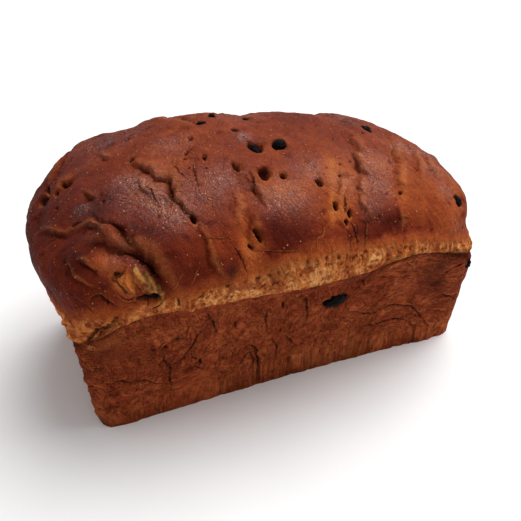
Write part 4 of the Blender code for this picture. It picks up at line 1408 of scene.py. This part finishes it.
    # Painted shade on the wall just under the band's edge
    shade_under_band = shader.span(over_foot, -9.0, -1.0)
    wall_mix = shader.maths("MULTIPLY_ADD", shade_under_band, -0.08, wall_mix)
    wall_mix = shader.maths("MULTIPLY_ADD", tone, -0.30, wall_mix)
    wall = shader.ramp(wall_mix, (
        (0.18, (0.150, 0.021, 0.007, 1)),
        (0.50, (0.300, 0.052, 0.016, 1)),
        (0.85, (0.460, 0.110, 0.032, 1))))
    # Painted shade in the wall's creases
    wall = shader.blend(shader.maths("MULTIPLY", lines, 0.42), wall, WALL_CREASE_SHADE)
    wall = shader.blend(shader.maths("MULTIPLY", pale_line, 0.75), wall, WALL_EDGE)

    # Zones, with frayed lines between them and an orange brown fringe over the band
    fray = shader.maths("MULTIPLY", shader.maths("SUBTRACT", mottle, 0.5), 9.0)
    into_band = shader.span(shader.maths("MULTIPLY_ADD", fray, 0.16, over_foot), -0.3, 0.5)
    patch = shader.maths("MULTIPLY_ADD", shader.maths("SUBTRACT", mottle, 0.5), 2.2, torn_patch)
    patch = shader.span(patch, 0.35, 0.6)
    into_torn = shader.maths("MAXIMUM", into_band, patch)
    into_fringe = shader.span(shader.maths("ADD", fray, over_band), -4.5, 0.5)
    into_crown = shader.span(shader.maths("ADD", fray, over_band), -1.5, 5.0)
    colour = shader.blend(into_torn, wall, torn)
    colour = shader.blend(shader.maths("MULTIPLY", into_fringe, into_band), colour, FRINGE)
    colour = shader.blend(into_crown, colour, baked)

    # Unglazed dough, stains, and painted shade in hollows and cracks
    streaky = shader.ramp(shader.maths("MULTIPLY_ADD", shader.maths("SUBTRACT", mottle, 0.5), 0.6, strands), (
        (0.36, (0.080, 0.026, 0.008, 1)),
        (0.68, (0.520, 0.230, 0.055, 1))))
    bare = shader.maths("MULTIPLY_ADD", shader.maths("SUBTRACT", strands, 0.5), 1.2, dough)
    colour = shader.blend(shader.span(bare, 0.45, 1.00), colour, streaky)
    stained = shader.maths("MULTIPLY", stain, shader.span(mottle, 0.25, 0.7, 0.4, 1.0), clamp=True)
    colour = shader.blend(shader.maths("MULTIPLY", stained, 0.8), colour, STAIN)
    painted_shade = shader.maths("MAXIMUM", groove, crack_shade_line)
    colour = shader.blend(shader.maths("MULTIPLY", painted_shade, 0.88), colour, HOLLOW_SHADE)

    # Fine baked grain, golden specks, painted glints of light on the glaze and a powdery contrast over
    #     everything
    contrast = shader.span(powder, 0.34, 0.66, 0.82, 1.20)
    contrast = shader.maths("MULTIPLY", contrast, shader.span(grain, 0.32, 0.68, 0.90, 1.10))
    colour = shader.scaled(colour, contrast)
    spark_share = shader.maths("MULTIPLY", sparks, shader.span(mottle, 0.40, 0.60, 0.15, 0.90))
    colour = shader.blend(shader.maths("MULTIPLY", spark_share, into_crown), colour, SPARK)
    # Painted highlights: pale glints on the glazed crown
    painted_glint_share = shader.maths("MULTIPLY", shader.maths("MULTIPLY", painted_glints, glaze), into_crown)
    colour = shader.blend(shader.maths("MULTIPLY", painted_glint_share, 0.90), colour, PAINTED_GLINT)
    shader.feed(shader.surface.inputs["Base Color"], colour)

    # Gloss, broken up by the grain of the skin
    broken = shader.maths("MULTIPLY", shader.span(powder, 0.32, 0.56, 0.55, 1.0),
                          shader.span(mottle, 0.32, 0.52, 0.60, 1.0))
    glazed = shader.maths("MULTIPLY_ADD", glaze, 1.0, shader.mark("top_glaze"))
    glazed = shader.maths("MULTIPLY", glazed, into_crown)
    facing = shader.node("ShaderNodeLayerWeight").outputs["Facing"]
    glazed = shader.maths("MULTIPLY", glazed, shader.span(facing, 0.45, 0.90, 1.0, 0.15))
    glazed = shader.maths("MULTIPLY", glazed, broken)
    glazed = shader.maths("MULTIPLY", glazed, shader.maths("SUBTRACT", 1.0, painted_shade), clamp=True)
    shader.feed(shader.surface.inputs["Coat Weight"], glazed)
    shader.surface.inputs["Coat Roughness"].default_value = GLAZE_ROUGHNESS
    shader.surface.inputs["Coat IOR"].default_value = GLAZE_REFRACTION
    shader.surface.inputs["Specular IOR Level"].default_value = CRUST_SHINE
    dull = shader.span(grain, 0.3, 0.7, 0.55, 0.68)
    shader.feed(shader.surface.inputs["Roughness"],
                shader.maths("MULTIPLY_ADD", shader.maths("SUBTRACT", 1.0, into_crown), 0.25, dull))

    # Bump: grain and crumples on the crown, strands on the band, creases on the wall, and every crack
    matt = shader.maths("SUBTRACT", 1.0, into_crown)
    on_wall = shader.maths("MULTIPLY", matt, shader.maths("SUBTRACT", 1.0, into_band))
    crumpled = shader.maths("MULTIPLY_ADD", glaze, 0.35, shader.maths("MULTIPLY_ADD", on_wall, 0.8, 0.1))
    skin = shader.bump(powder, 0.0005)
    skin = shader.bump(grain, 0.0007, skin)
    matt_fibres = shader.maths("MULTIPLY", fibres, shader.maths("MULTIPLY_ADD", matt, 0.9, 0.1))
    lined = shader.bump(matt_fibres, 0.0007, skin)
    pitted = shader.bump(mottle, 0.0014, lined)
    folded = shader.bump(shader.maths("MULTIPLY", banks, crumpled), 0.0016, pitted)
    folded = shader.bump(shader.maths("MULTIPLY", small_banks, crumpled), 0.0010, folded)
    cracked = shader.bump(shader.maths("SUBTRACT", pale_line, crack_shade_line), 0.0006, folded)
    matt_strands = shader.maths("MULTIPLY", strands, shader.maths("MULTIPLY_ADD", matt, 0.7, 0.2))
    ropes = shader.bump(matt_strands, 0.0024, cracked)
    shader.feed(shader.surface.inputs["Normal"], ropes)
    shader.feed(shader.surface.inputs["Coat Normal"], ropes)
    return shader.material


def raisin_material():
    """Nearly black, satin, with a pale bloom on the folds."""
    shader = Shader("raisin_skin")
    folds = shader.clouds(0.0016, 4, 0.6)
    fine = shader.clouds(0.0005, 2, 0.6)
    colour = shader.ramp(folds, (
        (0.30, (0.0016, 0.0010, 0.0009, 1)),
        (0.62, (0.0045, 0.0026, 0.0023, 1)),
        (0.85, (0.0120, 0.0070, 0.0062, 1))))
    shader.feed(shader.surface.inputs["Base Color"], colour)
    shader.feed(shader.surface.inputs["Roughness"], shader.span(fine, 0.3, 0.7, 0.42, 0.6))
    shader.surface.inputs["Specular IOR Level"].default_value = RAISIN_SHINE
    shader.feed(shader.surface.inputs["Normal"], shader.bump(folds, 0.0006))
    return shader.material


def add_floor():
    """The pale floor, as a square of the stage."""
    mesh = bpy.data.meshes.new("floor")
    corners = [(side * FLOOR_HALF, end * FLOOR_HALF, 0) for side, end in ((-1, -1), (1, -1), (1, 1), (-1, 1))]
    mesh.from_pydata(corners, [], [(0, 1, 2, 3)])
    shader = Shader("pale_floor")
    shade = shader.ramp(shader.clouds(0.05, 3, 0.5), (
        (0.3, (0.93, 0.93, 0.93, 1)),
        (0.7, (0.95, 0.95, 0.95, 1))))
    shader.feed(shader.surface.inputs["Base Color"], shade)
    shader.surface.inputs["Roughness"].default_value = 0.9
    shader.surface.inputs["Specular IOR Level"].default_value = 0.1
    mesh.materials.append(shader.material)
    add_piece("floor", mesh)


def light_studio():
    """Soft white light from all round, and a broad soft sun high over the right end."""
    world = bpy.data.worlds.new("studio")
    world.use_nodes = True
    background = world.node_tree.nodes["Background"]
    background.inputs["Color"].default_value = (1, 1, 1, 1)
    background.inputs["Strength"].default_value = SKY_STRENGTH
    bpy.context.scene.world = world
    light = bpy.data.lights.new("broad_sun", "SUN")
    light.energy = SUN_STRENGTH
    light.angle = math.radians(SUN_SPREAD)
    sun = bpy.data.objects.new("broad_sun", light)
    sun.rotation_euler = Vector(SUN_DIRECTION).to_track_quat("Z", "Y").to_euler()
    bpy.context.scene.collection.objects.link(sun)


def add_camera():
    """The camera that the photograph's outline was fitted to."""
    ahead, right, up = camera_axes()
    data = bpy.data.cameras.new("camera")
    data.sensor_width = SENSOR
    data.lens = LENS
    camera = bpy.data.objects.new("camera", data)
    turned = Matrix((right.tolist(), up.tolist(), (-ahead).tolist())).transposed().to_4x4()
    camera.matrix_world = Matrix.Translation(EYE.tolist()) @ turned
    bpy.context.scene.collection.objects.link(camera)
    bpy.context.scene.camera = camera


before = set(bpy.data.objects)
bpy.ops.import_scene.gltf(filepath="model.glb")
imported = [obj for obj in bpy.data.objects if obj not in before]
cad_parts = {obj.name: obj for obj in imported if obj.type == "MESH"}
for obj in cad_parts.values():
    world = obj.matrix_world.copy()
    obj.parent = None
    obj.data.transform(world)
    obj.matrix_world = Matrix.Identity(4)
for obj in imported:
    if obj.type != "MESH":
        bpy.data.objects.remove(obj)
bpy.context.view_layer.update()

bpy.context.scene.view_settings.view_transform = "Standard"
add_camera()
light_studio()
add_floor()

crust_piece = make_crust(crust_material())
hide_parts("loaf")
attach(crust_piece, "root")

raisin_skin = raisin_material()
for raisin_number, raisin_row in enumerate(RAISINS, 1):
    raisin = make_raisin(raisin_number, raisin_row, raisin_skin)
    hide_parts(f"raisin_{raisin_number}")
    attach(raisin, "root")
